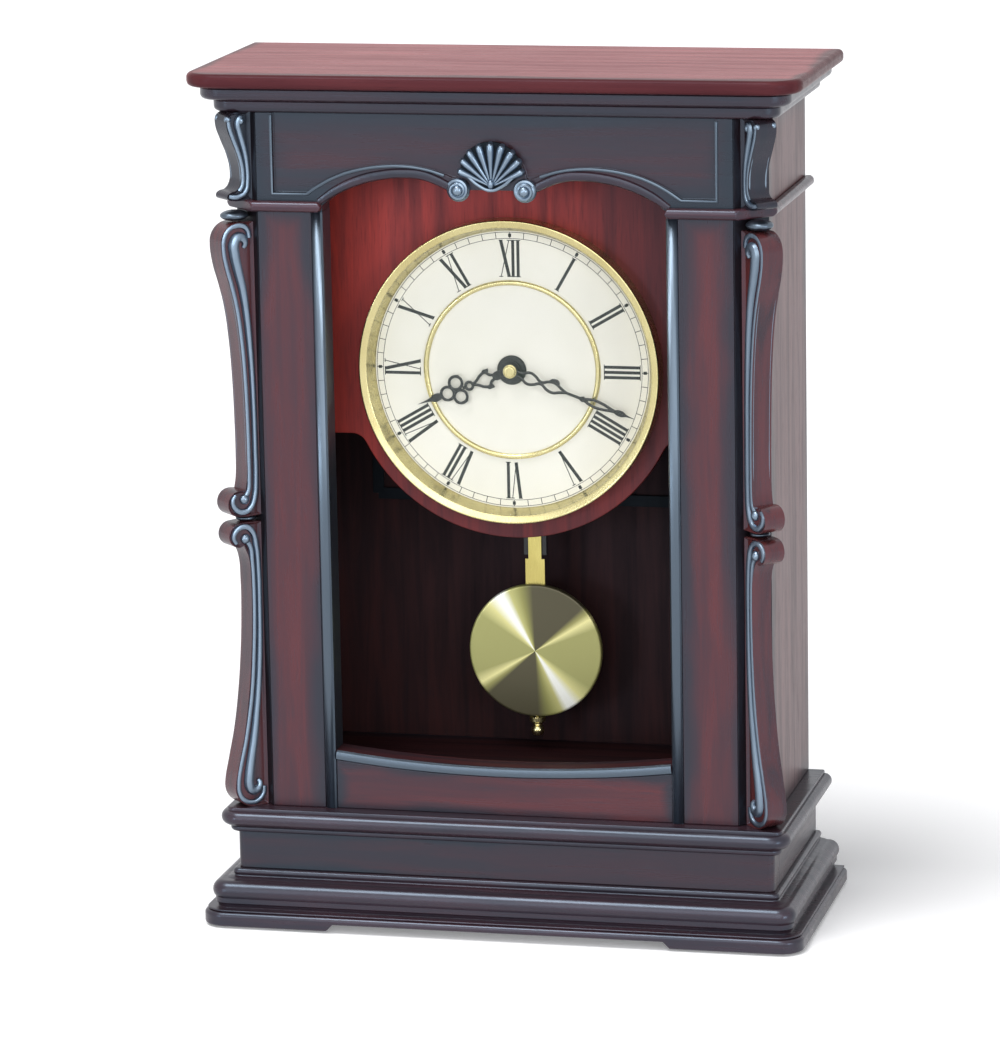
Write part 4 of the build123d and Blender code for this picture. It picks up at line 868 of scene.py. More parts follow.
@dataclass
class CaseFrame:
    """The boxed case: plinth, panels, posts, stiles, rail, frieze, waist mouldings and floor."""

    stile_x: float = 89.95
    stile_half: float = 11.75
    bead_x: float = 75.8
    bead_half: float = 2.4
    bead_round: float = 0.5
    rail_y: float = -39.4
    rail_radius: float = 2.2
    rail_round: float = 0.7
    rail_low: float = 69.8
    rail_sag: float = 4.7

    def build(self) -> None:
        """Build and dress the frame's pieces."""
        self.boards()
        self.mouldings()

    def boards(self) -> None:
        """The flat boards, darker towards their edges: rubbed stain on most, painted shade on the
        posts and the case floor, painted light and shade on the dial board.
        """
        red, dark = (RUBBED_RED, RUBBED_DEEP), (DARK_RED, DARK_DEEP)
        for side, sign in SIDES:
            post, panel, stile = f"{side}_corner_post", f"{side}_side_panel", f"{side}_stile"
            # Painted shade: the posts are near black.
            dress(post, f"{post}_board", POST_SHADE_BLACK, "stained_wood", 0.5)
            # Partly rubbed stain, partly painted reflection: the panel goes bluish dark towards
            # its edges, which also paints the cool reflection along its back edge.
            matt = StainedWood(f"{panel}_stain", *red, Grain.UPRIGHT,
                               Toning((0, 17.0, 201.0), (FREE, 45.0, 152.0), 14.0), EDGE_STAIN,
                               0.36, 0.22)
            dress(panel, f"{panel}_board", matt, "stained_wood", 0.5)
            toning = Toning((sign * self.stile_x, 0, 180.0), (self.stile_half + 1, FREE, 132.0),
                            9.0)
            finish = StainedWood(f"{stile}_stain", *red, Grain.UPRIGHT, toning, EDGE_STAIN)
            dress(stile, f"{stile}_board", finish, "stained_wood", 0.5)
        table = (
            ("plinth_front", dark, Grain.ACROSS, (0, -43.0, 31.8), (119.0, FREE, 9.6), (5.0,)),
            ("plinth_sides", dark, Grain.DEEP, (0, 7.0, 31.8), (FREE, 52.0, 9.6), (5.0,)),
            ("plinth_back", red, Grain.ACROSS, (0, 58.0, 31.8), (119.0, FREE, 9.6), (5.0,)),
            ("bottom_rail", red, Grain.ACROSS, (0, -40.0, 60.5), (74.0, FREE, 11.5), (6.0,)),
            ("frieze_panel", dark, Grain.ACROSS, (0, -40.0, 333.0), (103.0, FREE, 21.0),
             (20.0, 0.95)),
        )
        for node, stains, grain, centre, half, band in table:
            finish = StainedWood(f"{node}_stain", *stains, grain, Toning(centre, half, *band),
                                 EDGE_STAIN)
            dress(node, f"{node}_board", finish, "stained_wood", 0.4)
        # Painted shade: the case floor is stained very dark, and darker still towards the walls,
        # for the shade inside the case.
        floor = StainedWood("case_floor_painted_shade", srgb(44, 18, 18), srgb(26, 13, 13), Grain.ACROSS,
                            Toning((0, 10.0, 62.0), (104.0, 46.0, FREE), 16.0), EDGE_STAIN,
                            0.6, 0.15)
        dress("case_floor", "case_floor_board", floor, "stained_wood", 0.4)
        # Painted light and shade: the veneer is toned lighter towards the upper left and darker
        # towards its edges, a painted pool of light.
        veneer = StainedWood("dial_board_painted_light", srgb(158, 52, 42), srgb(104, 35, 31),
                             Grain.UPRIGHT,
                             Toning((-40.0, -9.5, 262.0), (96.0, FREE, 92.0), 44.0, 0.66),
                             srgb(44, 20, 21), 0.45, 0.3)
        dress("dial_board", "board_behind_dial", veneer, "board_veneer", 0.5)

    def mouldings(self) -> None:
        """Beads on the stiles and the rail, the waist mouldings and the corner beads."""
        dress("waist_mouldings", "waist_moulding_run", WAIST_STAIN, "stained_wood", 0.7)
        self.rail_bead()
        self.stile_beads()
        self.corner_beads()

    def rail_bead(self) -> None:
        """Half-round bead along the rail's sagging edge, on a flat ledge."""
        ledge = Blank.of_node("rail_bead")
        ledge.slice((0, self.rail_y, 0), (0, -1, 0))
        ledge.piece("rail_ledge", LEDGE, slot="stained_wood", nodes=["rail_bead"], soften=0.3)
        half = self.bead_x - self.bead_half
        line = [(half * t, self.rail_low + self.rail_sag * t * t)
                for t in (-0.995, -0.75, -0.5, -0.25, 0, 0.25, 0.5, 0.75, 0.995)]
        flat = Matrix.Diagonal((1, 1, self.rail_round, 1))
        bead = Blank.bead(line, self.rail_radius)
        bead.place(move(0, self.rail_y, 0) @ FACING @ flat)
        bead.piece("rail_bead_run", CARVED, slot="stained_wood")

    def stile_beads(self) -> None:
        """Half-round beads on square backs, one beside each side of the opening."""
        backs = Blank.of_node("stile_beads")
        backs.slice((0, FRONT_Y, 0), (0, -1, 0))
        round_face = Blank.bead([(self.bead_x, 51.2), (self.bead_x, 309.2)], self.bead_half,
                                resolution=2)
        flat = Matrix.Diagonal((1, 1, self.bead_round, 1))
        round_face.place(move(0, FRONT_Y, 0) @ FACING @ flat)
        backs.add(round_face.both_sides()).piece("stile_beads_run", CARVED, slot="stained_wood",
                                                 nodes=["stile_beads"])

    def corner_beads(self) -> None:
        """Small rounded cushions between the brackets on the canted corners."""
        cushions = Blank()
        for height, half, reach, width in ((306.95, 2.35, 6.2, 5.6), (176.9, 1.5, 4.6, 4.2)):
            ball = Blank.ball((reach, height, 0), (reach, half, width), 24)
            cushions.add(ball.both_corners())
        cushions.piece("corner_bead_run", CARVED, slot="carved_wood", nodes=["corner_beads"])


def canted(side: int) -> Matrix:
    """Matrix from a bracket's plane, (reach, height, width), to a canted corner of the case.

    Args:
        side: 1 for the corner at positive x, -1 for the other.

    Returns:
        The matrix.
    """
    slant = 0.5 ** 0.5
    return Matrix(((side * slant, 0, -slant, side * CORNER_X),
                   (-slant, 0, -side * slant, CORNER_Y),
                   (0, 1, 0, 0), (0, 0, 0, 1)))


@dataclass
class ScrollBrackets:
    """Scrolled brackets on the canted corners: ribbon bodies whose beads curl into volutes."""

    width: float = 10.0
    rim: float = 1.2
    relief: float = 1.2
    bead: float = 1.25
    flatness: float = 0.85

    def build(self) -> None:
        """Build and dress the three pairs."""
        self.upper()
        self.long()
        self.lower()

    def pair(self, name: str, finish: StainedWood, outline: Sequence[Knot], outer: Sequence[Knot],
             inner: Sequence[Knot], balls: Sequence[Knot]) -> None:
        """One pair of brackets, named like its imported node.

        Args:
            name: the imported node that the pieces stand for.
            finish: stain of the bodies.
            outline: the body's outline as (reach, height) points.
            outer: path of the bead along the ribbon's edge.
            inner: path of the swelling bead beside the post, as (reach, height, radius).
            balls: (reach, height, radius) of the round ends of beads.
        """
        body = Blank.slab(outline, self.width, self.rim, self.relief)
        beads = Blank.bead(outer, self.bead).add(Blank.swelling(inner))
        for reach, height, radius in balls:
            beads.add(Blank.ball((reach, height, 0.0), (radius, radius, radius)))
        level = self.width / 2 - self.relief + 0.2
        beads.place(move(0, 0, level) @ Matrix.Diagonal((1, 1, self.flatness, 1)))
        beads.add(beads.copy(OTHER_FACE))
        body.both_corners().piece(f"{name}_bodies", finish, slot="carved_wood", nodes=[name],
                                  soften=0.35)
        beads.both_corners().piece(f"{name}_beads", SCROLLED, slot="carved_wood")

    def upper(self) -> None:
        """Upper pair: a hollow front, a lip at the foot and a bead that ends in a ball."""
        outline = [(0, 351.0, 0, 1), (0, 313.8, 0, 1), (9.6, 313.8), (11.6, 314.6), (11.9, 315.9),
                   (10.6, 317.2), (7.6, 318.0), (5.6, 320.4), (5.0, 325.0), (6.4, 332.0),
                   (9.4, 339.4), (11.4, 345.6), (11.0, 349.2), (8.6, 350.9, 0, 1)]
        outer = [(10.2, 348.0), (9.8, 345.0), (8.4, 340.6), (6.2, 335.0), (4.5, 329.5),
                 (3.9, 324.0), (4.3, 319.8), (5.8, 317.6)]
        inner = [(3.6, 346.4, 1.0), (4.2, 348.4, 1.5), (5.6, 346.6, 1.6), (5.0, 342.6, 1.5),
                 (3.7, 338.0, 1.45), (2.3, 332.5, 1.4), (1.6, 327.0, 1.35), (1.6, 321.5, 1.35),
                 (2.6, 317.2, 1.35), (5.2, 315.5, 1.3), (8.6, 315.3, 1.2), (10.8, 315.8, 1.0)]
        self.pair("upper_brackets", UPPER_STAIN, outline, outer, inner,
                  [(10.2, 348.2, 1.6), (4.1, 347.2, 1.9)])

    def long(self) -> None:
        """Long pair: an arch over a comma at the top, and a hook round a ball at the foot."""
        outline = [(0, 178.4, 0, 1), (0, 304.4, 0, 1), (7.2, 304.4),
                   *arc((7.2, 296.0), 8.4, 75, 0, 4), (14.6, 287.0), (12.1, 278.0), (9.9, 269.0),
                   (7.9, 254.0), (6.7, 236.0), (6.2, 218.0), (6.1, 204.0), (6.4, 194.0),
                   (7.2, 189.4, 0, 1), *arc((10.1, 184.0), 5.6, 90, -90, 8)]
        outer = [(1.6, 297.6), (2.2, 300.6), (4.6, 302.7), (8.4, 303.0), (11.8, 301.4),
                 (13.8, 298.0), (14.2, 293.8), (13.2, 287.0), (10.9, 278.4), (8.7, 269.0),
                 (6.7, 254.0), (5.5, 236.0), (5.0, 218.0), (4.9, 204.0), (5.0, 194.0),
                 (5.6, 188.8), (7.2, 186.4)]
        inner = [(4.6, 293.4, 0.9), (3.7, 295.2, 1.5), (4.7, 297.5, 2.0), (7.2, 298.0, 2.3),
                 (9.0, 295.6, 2.5), (8.9, 291.6, 2.5), (7.6, 285.0, 2.3), (5.6, 276.5, 2.0),
                 (4.0, 266.0, 1.75), (2.8, 253.0, 1.55), (2.0, 239.0, 1.4), (1.6, 222.0, 1.35),
                 (1.5, 206.0, 1.35), (1.6, 194.0, 1.35), (2.4, 186.2, 1.4), (4.6, 181.6, 1.4),
                 (8.2, 180.1, 1.4), (11.8, 181.8, 1.3), (13.2, 185.2, 1.2), (11.8, 187.8, 1.0)]
        self.pair("long_brackets", RIBBON, outline, outer, inner, [(7.4, 185.6, 2.2)])

    def lower(self) -> None:
        """Lower pair: a hook round a ball at the top, and a loop round a comma at the foot."""
        outline = [(0, 51.0, 0, 1), (0, 175.4, 0, 1), *arc((10.4, 170.2), 5.2, 90, -90, 8),
                   (8.6, 165.6, 0, 1), (6.4, 160.0), (5.6, 149.0), (5.7, 134.0), (6.6, 117.0),
                   (8.3, 100.0), (10.8, 84.0), (13.6, 72.0), *arc((7.0, 60.0), 9.0, 8, -80, 5),
                   (7.0, 51.0, 0, 1)]
        outer = [(1.7, 59.0), (2.2, 55.8), (4.6, 53.2), (8.2, 52.6), (11.8, 54.2), (14.0, 57.8),
                 (14.2, 62.2), (12.9, 69.2), (10.5, 78.5), (8.3, 89.5), (6.5, 101.0), (5.1, 117.0),
                 (4.3, 134.0), (4.2, 149.0), (4.6, 158.4), (5.4, 165.0), (7.2, 167.6)]
        inner = [(4.8, 62.4, 0.9), (3.8, 60.6, 1.4), (4.8, 58.3, 1.9), (7.2, 57.8, 2.1),
                 (8.9, 60.0, 2.3), (8.9, 64.2, 2.3), (7.9, 71.0, 2.1), (6.2, 80.0, 1.9),
                 (4.6, 91.0, 1.7), (3.0, 105.0, 1.5), (1.9, 122.0, 1.4), (1.5, 140.0, 1.35),
                 (1.6, 155.0, 1.35), (2.4, 165.0, 1.4), (4.4, 171.6, 1.4), (8.0, 173.8, 1.4),
                 (11.8, 172.4, 1.3), (13.2, 169.2, 1.2), (11.9, 166.8, 1.0)]
        self.pair("lower_brackets", RIBBON, outline, outer, inner, [(7.4, 168.4, 2.2)])


@dataclass
class FriezeCarving:
    """Beads round the frieze's field and arches, the scallop shell and its two volutes."""

    hub_z: float = 321.4
    shell_radius: float = 19.0
    ribs: int = 9
    fan: float = 128.0
    volute_x: float = 14.2
    volute_z: float = 319.8

    def build(self) -> None:
        """Build and dress the carving."""
        self.edge_beads()
        self.shell()
        self.volutes()

    def edge_beads(self) -> None:
        """A bead along each arch, and a thin raised line round the sunk field."""
        band = [(74.8, 313.6, 1.4), (67.6, 318.4, 1.9), (57.6, 322.9, 2.1), (47.4, 325.4, 2.1),
                (38.0, 326.2, 2.1), (30.0, 325.6, 2.1), (23.4, 323.4, 2.0), (18.4, 321.0, 1.9)]
        field_line = [(94.9, 349.8, 0, 1), (94.9, 316.7, 0, 1), (80.0, 316.7, 0, 1), (74.0, 320.7),
                      (66.0, 324.7), (57.5, 327.3), (47.0, 328.9), (38.0, 329.1), (28.0, 327.8),
                      (20.5, 325.6)]
        place = move(0, FRONT_Y, 0) @ FACING
        edge = Blank.swelling(band).place(Matrix.Diagonal((1, 1, 0.75, 1)))
        line = Blank.bead(field_line, 0.75)
        edge.place(place).both_sides().piece("arch_beads", MOULDED, slot="carved_wood")
        line.place(place).both_sides().piece("field_beads", CARVED, slot="carved_wood")

    def shell(self) -> None:
        """Rounded ribs that fan out from a small pointed hub, with a near-black ground behind them
        as painted shade in the hollows.
        """
        fan = Blank()
        for index in range(self.ribs):
            lean = 2 * index / (self.ribs - 1) - 1
            length = self.shell_radius * (1 - 0.16 * lean * lean)
            tip = 2.15 - 0.25 * abs(lean)
            profile = [(0.0, 1.0), (0.6, 1.6), (tip * 0.62, length * 0.5),
                       (tip * 0.92, length - 2.2 * tip),
                       *arc((0.0, length - tip), tip, 12, 90, 6)]
            rib = Blank.turned(profile, 14).place(Matrix.Diagonal((0.86, 1.5, 1, 1)))
            fan.add(rib.place(Matrix.Rotation(radians(self.fan / 2 * lean), 4, "Y")))
        fan.add(Blank.ball((0, -0.6, 1.2), (1.5, 2.2, 2.2)))
        border = Blank.bead([(-9.6, 4.2), (-5.2, 0.6), (0, -1.4), (5.2, 0.6), (9.6, 4.2)], 0.7)
        fan.add(border.place(move(0, -1.2, 0) @ FACING))
        place = move(0, FRONT_Y - 1.3, self.hub_z)
        fan.place(place).piece("shell", SCROLLED, slot="carved_wood", nodes=["shell_carving"])
        # Painted shade: a near-black slab behind the ribs darkens the hollows between them.
        ground = [(0, -1.8, 0, 1), (-6.0, 0.6), (-10.8, 3.8), (-12.9, 8.0), (-11.2, 13.0),
                  (-6.4, 17.2), (0, 18.9), (6.4, 17.2), (11.2, 13.0), (12.9, 8.0), (10.8, 3.8),
                  (6.0, 0.6)]
        Blank.slab(ground, 1.2).place(place @ FACING).piece(
            "shell_painted_shade_ground", PAINTED_SHADE_BLACK, slot="carved_wood", soften=0.3)

    def volutes(self) -> None:
        """The two rolled volutes below the shell, each a tapered coil round an eye."""
        steps = 18
        coil = arc((0.0, 0.0), 4.1, 30, 460, steps, 2.6)
        roll = Blank.bead([(x, z, 1.8 + 1.3 * i / steps) for i, (x, z) in enumerate(coil)], 1.15,
                          radii=[1.0 - 0.3 * i / steps for i in range(steps + 1)])
        boss = [(0.0, 0.0), (4.7, 0.0), (5.0, 1.0), (4.4, 2.2), (3.0, 3.0), (0.0, 3.4)]
        roll.add(Blank.ball((0, 0, 2.9), (2.4, 2.4, 2.2)), Blank.turned(boss, 28))
        roll.place(move(self.volute_x, FRONT_Y, self.volute_z) @ FACING).both_sides().piece(
            "shell_volutes", SCROLLED, slot="carved_wood", nodes=["arch_volutes"])


@dataclass
class Dial:
    """Enamelled dial with printed Roman hours, a gilt ring, its bezel and its glass."""

    face_y: float = -10.3
    print_height: float = 0.06
    numeral_foot: float = 40.0
    numeral_height: float = 15.5
    track_inner: float = 56.3
    track_outer: float = 59.0
    track_line: float = 0.11
    ring_radius: float = 37.4
    ring_half: float = 1.1
    hairline: float = 0.35
    stroke: float = 1.3
    slant: float = 1.4
    letter_half: float = 1.75
    letters: ClassVar[dict[str, float]] = {"I": 2.2, "V": 4.7, "X": 4.7}

    def build(self) -> None:
        """Build and dress the dial."""
        self.plate()
        self.printing()
        self.bezel()

    def facing(self) -> Matrix:
        """Matrix from the dial's own plane to its place."""
        return move(0, self.face_y, DIAL_Z) @ FACING

    def plate(self) -> None:
        """The face, and the slightly raised gilt ring inside the hours."""
        plate = Blank.turned([(4.2, -0.8), (4.2, 0.0), (60.1, 0.0), (60.2, -0.1), (60.2, -0.8)],
                             128, True)
        plate.place(self.facing()).piece("dial_face", ENAMEL, slot="dial_enamel",
                                         nodes=["dial_plate"])
        radius, half = self.ring_radius, self.ring_half
        ring = Blank.turned([(radius - half, 0.0), *arc((radius, 0.2), half, 180, 0, 8),
                             (radius + half, 0.0)], 128, True)
        ring.place(self.facing()).piece("gilt_ring", POLISHED, slot="polished_brass")

    def glyph(self, letter: str, middle: float) -> Blank:
        """One Roman letter of thick and thin strokes with serifs.

        Args:
            letter: I, V or X.
            middle: how far aside its middle line stands.

        Returns:
            The letter, upright in the dial's plane.
        """
        foot, top = self.numeral_foot, self.numeral_foot + self.numeral_height
        shape = Blank()
        level = (0.0, self.print_height)
        if letter == "I":
            shape.bar((middle, foot), (middle, top), self.stroke, *level)
            serifs = [(middle, foot, 1.1), (middle, top, 1.1)]
        else:
            half = self.letter_half
            feet = (0.0, 0.0) if letter == "V" else (half, -half)
            strokes = ((-half, feet[0], self.slant), (half, feet[1], self.hairline))
            serifs = []
            for start, end, width in strokes:
                shape.bar((middle + start, top), (middle + end, foot), width, *level)
                serifs.append((middle + start, top, 0.85))
                if letter == "X":
                    serifs.append((middle + end, foot, 0.85))
        for x, end, reach in serifs:
            shape.bar((x - reach, end), (x + reach, end), self.hairline, *level)
        return shape

    def printing(self) -> None:
        """Hours, minute track and its marks, all in black ink."""
        ink = Blank()
        hours = ("XII", "I", "II", "III", "IIII", "V", "VI", "VII", "VIII", "IX", "X", "XI")
        for hour, word in enumerate(hours):
            left = -sum(self.letters[letter] for letter in word) / 2
            numeral = Blank()
            for letter in word:
                numeral.add(self.glyph(letter, left + self.letters[letter] / 2))
                left += self.letters[letter]
            ink.add(numeral.place(Matrix.Rotation(radians(-30 * hour), 4, "Z")))
        inner, outer, raised = self.track_inner, self.track_outer, self.print_height
        middle = (inner + outer) / 2
        for minute in range(60):
            mark = Blank().bar((0, inner), (0, outer), 0.28, 0.0, raised)
            if minute % 5 == 0:
                mark.bar((0, middle - 0.75), (0, middle + 0.75), self.stroke, 0.0, raised)
            ink.add(mark.place(Matrix.Rotation(radians(-6 * minute), 4, "Z")))
        for radius in (inner, outer):
            near, far = radius - self.track_line, radius + self.track_line
            ink.add(Blank.turned([(near, 0.0), (near, raised), (far, raised), (far, 0.0)], 128,
                                 True))
        ink.place(self.facing()).piece("dial_printing", INK, slot="hand_black")

    def bezel(self) -> None:
        """Turned bezel with a rolled rim and a sloping inner wall, and its flat glass."""
        outline = [(59.6, 10.45), (60.3, 9.5), (65.2, 9.5), (65.2, 17.2),
                   *arc((64.5, 17.75), 0.7, 0, 130, 6), (62.9, 18.05), (61.9, 17.5), (61.85, 16.5),
                   (60.9, 13.6)]
        Blank.turned(outline, 144, True).place(DIAL_CENTRE).piece(
            "turned_bezel", POLISHED, slot="polished_brass", nodes=["bezel"])
        pane = [(0.0, 16.6), (61.6, 16.6), (61.8, 16.8), (61.8, 18.0), (61.6, 18.2), (0.0, 18.2)]
        Blank.turned(pane, 144).place(DIAL_CENTRE).piece("glass", GLASS, slot="lens",
                                                         nodes=["dial_lens"])


@dataclass
class Hands:
    """Pierced hands with rings and loops, their bosses, shafts and nut."""

    hour_angle: float = 249.15
    minute_angle: float = 109.8
    hour_y: float = -12.2
    minute_y: float = -13.6
    thickness: float = 0.6
    wire: float = 0.62
    nut_top: float = 15.9

    def build(self) -> None:
        """Build and dress the hands and what carries them."""
        self.hour()
        self.minute()
        self.shafts()

    def strands(self, runs: Iterable[Sequence[Knot]], closed: bool = False) -> Blank:
        """Thin strands of a pierced hand.

        Args:
            runs: the points of each strand, as (aside, along).
            closed: whether each comes back to its start.

        Returns:
            The strands.
        """
        shape = Blank()
        for run in runs:
            shape.add(Blank.bead(run, self.wire, closed))
        return shape

    def rings(self, spots: Iterable[Knot]) -> Blank:
        """Open rings of a pierced hand, as (aside, along, radius)."""
        return self.strands([arc((x, z), radius, 0, 330, 11) for x, z, radius in spots], True)

    def blade(self, outline: Sequence[Knot]) -> Blank:
        """A solid part of a hand inside an outline (aside, along)."""
        return Blank.slab(outline, 2 * self.wire, resolution=4)

    def place(self, shape: Blank, y: float, angle: float) -> Blank:
        """Flatten a hand to its thickness and turn it to its place.

        Args:
            shape: the hand, drawn upright.
            y: its place in the case's depth.
            angle: its angle in degrees from the twelve.

        Returns:
            The hand.
        """
        flat = Matrix.Diagonal((1, 1, self.thickness / (2 * self.wire), 1))
        turn = Matrix.Rotation(radians(angle), 4, "Y")
        return shape.place(move(0, y, DIAL_Z) @ turn @ FACING @ flat)

    def hour(self) -> None:
        """Hour hand: spread arms, a small ring, three rings with points and a dagger tip."""
        hand = Blank.turned([(2.5, -0.5), (4.3, -0.5), (4.3, 0.5), (2.5, 0.5)], 40, True)
        hand.add(self.blade([(-1.5, 3.6, 0, 1), (1.5, 3.6, 0, 1), (1.9, 5.4), (1.2, 8.2),
                             (-1.2, 8.2), (-1.9, 5.4)]))
        for side in (-1, 1):
            hand.add(self.strands([[(side * 0.7, 7.6), (side * 1.5, 9.6), (side * 3.1, 11.2),
                                    (side * 2.5, 13.6), (side * 1.0, 15.8), (0, 18.0)]]),
                     self.blade([(side * 2.6, 9.9), (side * 4.3, 9.2, 0, 1), (side * 3.7, 12.3)]),
                     self.blade([(side * 5.8, 22.0, 0, 1), (side * 6.5, 24.6),
                                 (side * 5.6, 26.8, 0, 1)]))
        hand.add(self.rings([(0, 19.6, 1.6), (-3.1, 24.8, 2.8), (3.1, 24.8, 2.8), (0, 29.8, 2.8)]),
                 self.strands([[(0, 21.0), (0, 22.6)]]),
                 self.blade([(0, 32.2), (1.7, 34.6), (0.7, 38.4), (0, 44.0, 0, 1), (-0.7, 38.4),
                             (-1.7, 34.6)]))
        self.place(hand, self.hour_y, self.hour_angle).piece(
            "hour_pointer", HAND_LACQUER, "hour_hand", "hand_black", ["hour_hand"])

    def minute(self) -> None:
        """Minute hand: wavy open loops, a stem, a long pointed loop and a slim tip."""
        hand = Blank.turned([(1.45, -0.5), (3.3, -0.5), (3.3, 0.5), (1.45, 0.5)], 40, True)
        for side in (-1, 1):
            hand.add(self.strands([[(side * 0.9, 2.8), (side * 1.1, 5.2), (side * 2.5, 8.4),
                                    (side * 1.7, 11.4), (side * 0.6, 13.2), (side * 0.5, 14.6),
                                    (side * 1.8, 17.2), (side * 2.1, 20.2), (side * 0.9, 23.0),
                                    (0, 25.6)]]),
                     self.strands([[(0, 33.0), (side * 1.3, 37.6), (side * 1.2, 42.0),
                                    (side * 0.4, 46.0), (0, 48.6)]]))
        hand.add(self.strands([[(0, 25.0), (0, 29.0), (0, 33.5)], [(0, 49.0), (0, 52.0)],
                               [(-1.8, 17.4), (-3.2, 18.8), (-2.7, 21.2), (-1.6, 21.0)]]),
                 self.blade([(0, 47.6), (1.3, 50.4), (0.4, 53.2), (0, 57.0, 0, 1), (-0.4, 53.2),
                             (-1.3, 50.4)]),
                 self.blade([(0, 30.6, 0, 1), (1.3, 33.2, 0, 1), (0, 35.8, 0, 1),
                             (-1.3, 33.2, 0, 1)]))
        self.place(hand, self.minute_y, self.minute_angle).piece(
            "minute_pointer", HAND_LACQUER, "minute_hand", "hand_black", ["minute_hand"])

    def shafts(self) -> None:
        """Fixing nut, hour pipe, arbor and the domed nut that holds the minute hand."""
        collar = [(4.05, 10.35), (6.3, 10.35), (6.3, 11.1), (5.9, 11.5), (4.05, 11.5)]
        Blank.turned(collar, 48, True).place(DIAL_CENTRE).piece(
            "dial_nut", HAND_LACQUER, slot="polished_brass", nodes=["fixing_nut"])
        for node, body in (("hour_pipe", "hour_hand"), ("centre_arbor", "minute_hand")):
            Blank.of_node(node).piece(f"{node}_shaft", POLISHED, body, "polished_brass", [node])
        dome = [(1.45, 13.9), (2.9, 13.9), (2.9, 14.9), *arc((0.0, 14.3), 2.7, 15, 60, 5),
                (1.2, 16.0), (0.0, 16.0), (0.0, 14.6), (1.45, 14.6)]
        capped = [(radius, min(height, self.nut_top)) for radius, height in dome]
        Blank.turned(capped, 40, True).place(DIAL_CENTRE).piece(
            "minute_nut", POLISHED, "minute_hand", "polished_brass", ["hand_nut"])


@dataclass
class Pendulum:
    """Pivot, hanger, brass rod, spun bob and rating nut."""

    bob_z: float = 107.9
    bob_radius: float = 29.5
    nut_y: float = 26.55
    nut_top: float = 78.1

    def build(self) -> None:
        """Build and dress the pendulum."""
        dress("pendulum_pivot", "pivot", PLASTIC, "black_plastic", 0.1)
        dress("pendulum_hanger", "hanger", PLASTIC, "hanger_plastic", 0.3, "pendulum")
        dress("pendulum_rod", "rod", ROD_GOLD, "bob_brass", 0.15, "pendulum")
        self.bob()
        self.nut()

    def bob(self) -> None:
        """The bob: a thin disc with a faintly crowned, spun face and a rounded rim."""
        node_low, node_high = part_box("pendulum_bob")
        back, front = -node_high.y / MM, -node_low.y / MM
        radius = self.bob_radius
        crown = [(0.0, front), (radius * 0.5, front - 0.08), (radius - 1.2, front - 0.3),
                 *arc((radius - 0.9, front - 1.2), 0.9, 80, 0, 4), (radius, back + 0.4),
                 (radius - 0.4, back), (0.0, back)]
        # Painted highlights and painted dark sectors: the bob's colour stops by direction from its
        # middle.
        gold, pale, painted_dark_sector = srgb(164, 162, 102), (1.0, 1.0, 0.92), srgb(78, 73, 54)
        painted_sectors = ((0.0, gold), (0.12, gold), (0.175, srgb(240, 232, 164)),
                  (0.205, srgb(160, 156, 96)), (0.24, painted_dark_sector), (0.51, painted_dark_sector),
                  (0.57, srgb(146, 144, 84)), (0.63, srgb(196, 192, 124)), (0.665, pale),
                  (0.70, pale), (0.75, srgb(226, 220, 150)), (0.82, gold), (1.0, gold))
        finish = SpunBrass("spun_bob_painted_highlights", srgb(112, 106, 64), (0.0, 0.0, self.bob_z), painted_sectors)
        Blank.turned(crown, 112).place(move(0, 0, self.bob_z) @ FACING).piece(
            "bob", finish, "pendulum", "bob_brass", ["pendulum_bob"])

    def nut(self) -> None:
        """Turned rating nut: knurled collar, waist, ball and a pointed tip."""
        top = self.nut_top
        profile = [(1.15, top), (3.2, top), (3.6, top - 0.4), (3.6, top - 2.0), (3.2, top - 2.4),
                   (2.2, top - 2.7), (2.0, top - 3.2), (2.2, top - 3.6),
                   *arc((0.0, top - 6.2), 2.9, 50, -50, 9), (1.0, top - 8.5), (0.0, top - 8.6),
                   (0.0, top - 7.0), (1.15, top - 7.0)]
        Blank.turned(profile, 32, True).place(move(0, self.nut_y, 0)).piece(
            "rating_knob", POLISHED, "rating_nut", "polished_brass", ["rating_nut"])


@dataclass
class Movement:
    """Quartz movement behind the dial board with its cover, grille, knob, switches and cells."""

    def build(self) -> None:
        """Build and dress the movement."""
        plain = (
            ("movement_housing", "case", PLASTIC, "black_plastic", 0.35),
            ("battery_cover", "battery_cover", PLASTIC, "black_plastic", 0.3),
            ("speaker_grille", "case", KNOB_PLASTIC, "black_plastic", 0.2),
            ("chime_switch", "chime_switch", KNOB_PLASTIC, "knob_plastic", 0.25),
            ("volume_switch", "volume_switch", KNOB_PLASTIC, "knob_plastic", 0.25),
            ("batteries", "case", SLEEVE, "cell_sleeve", 0.2),
            ("set_knob", "set_knob", KNOB_PLASTIC, "knob_plastic", 0.25),
        )
        for node, body, finish, slot, soften in plain:
            dress(node, f"{node}_part", finish, slot, soften, body)


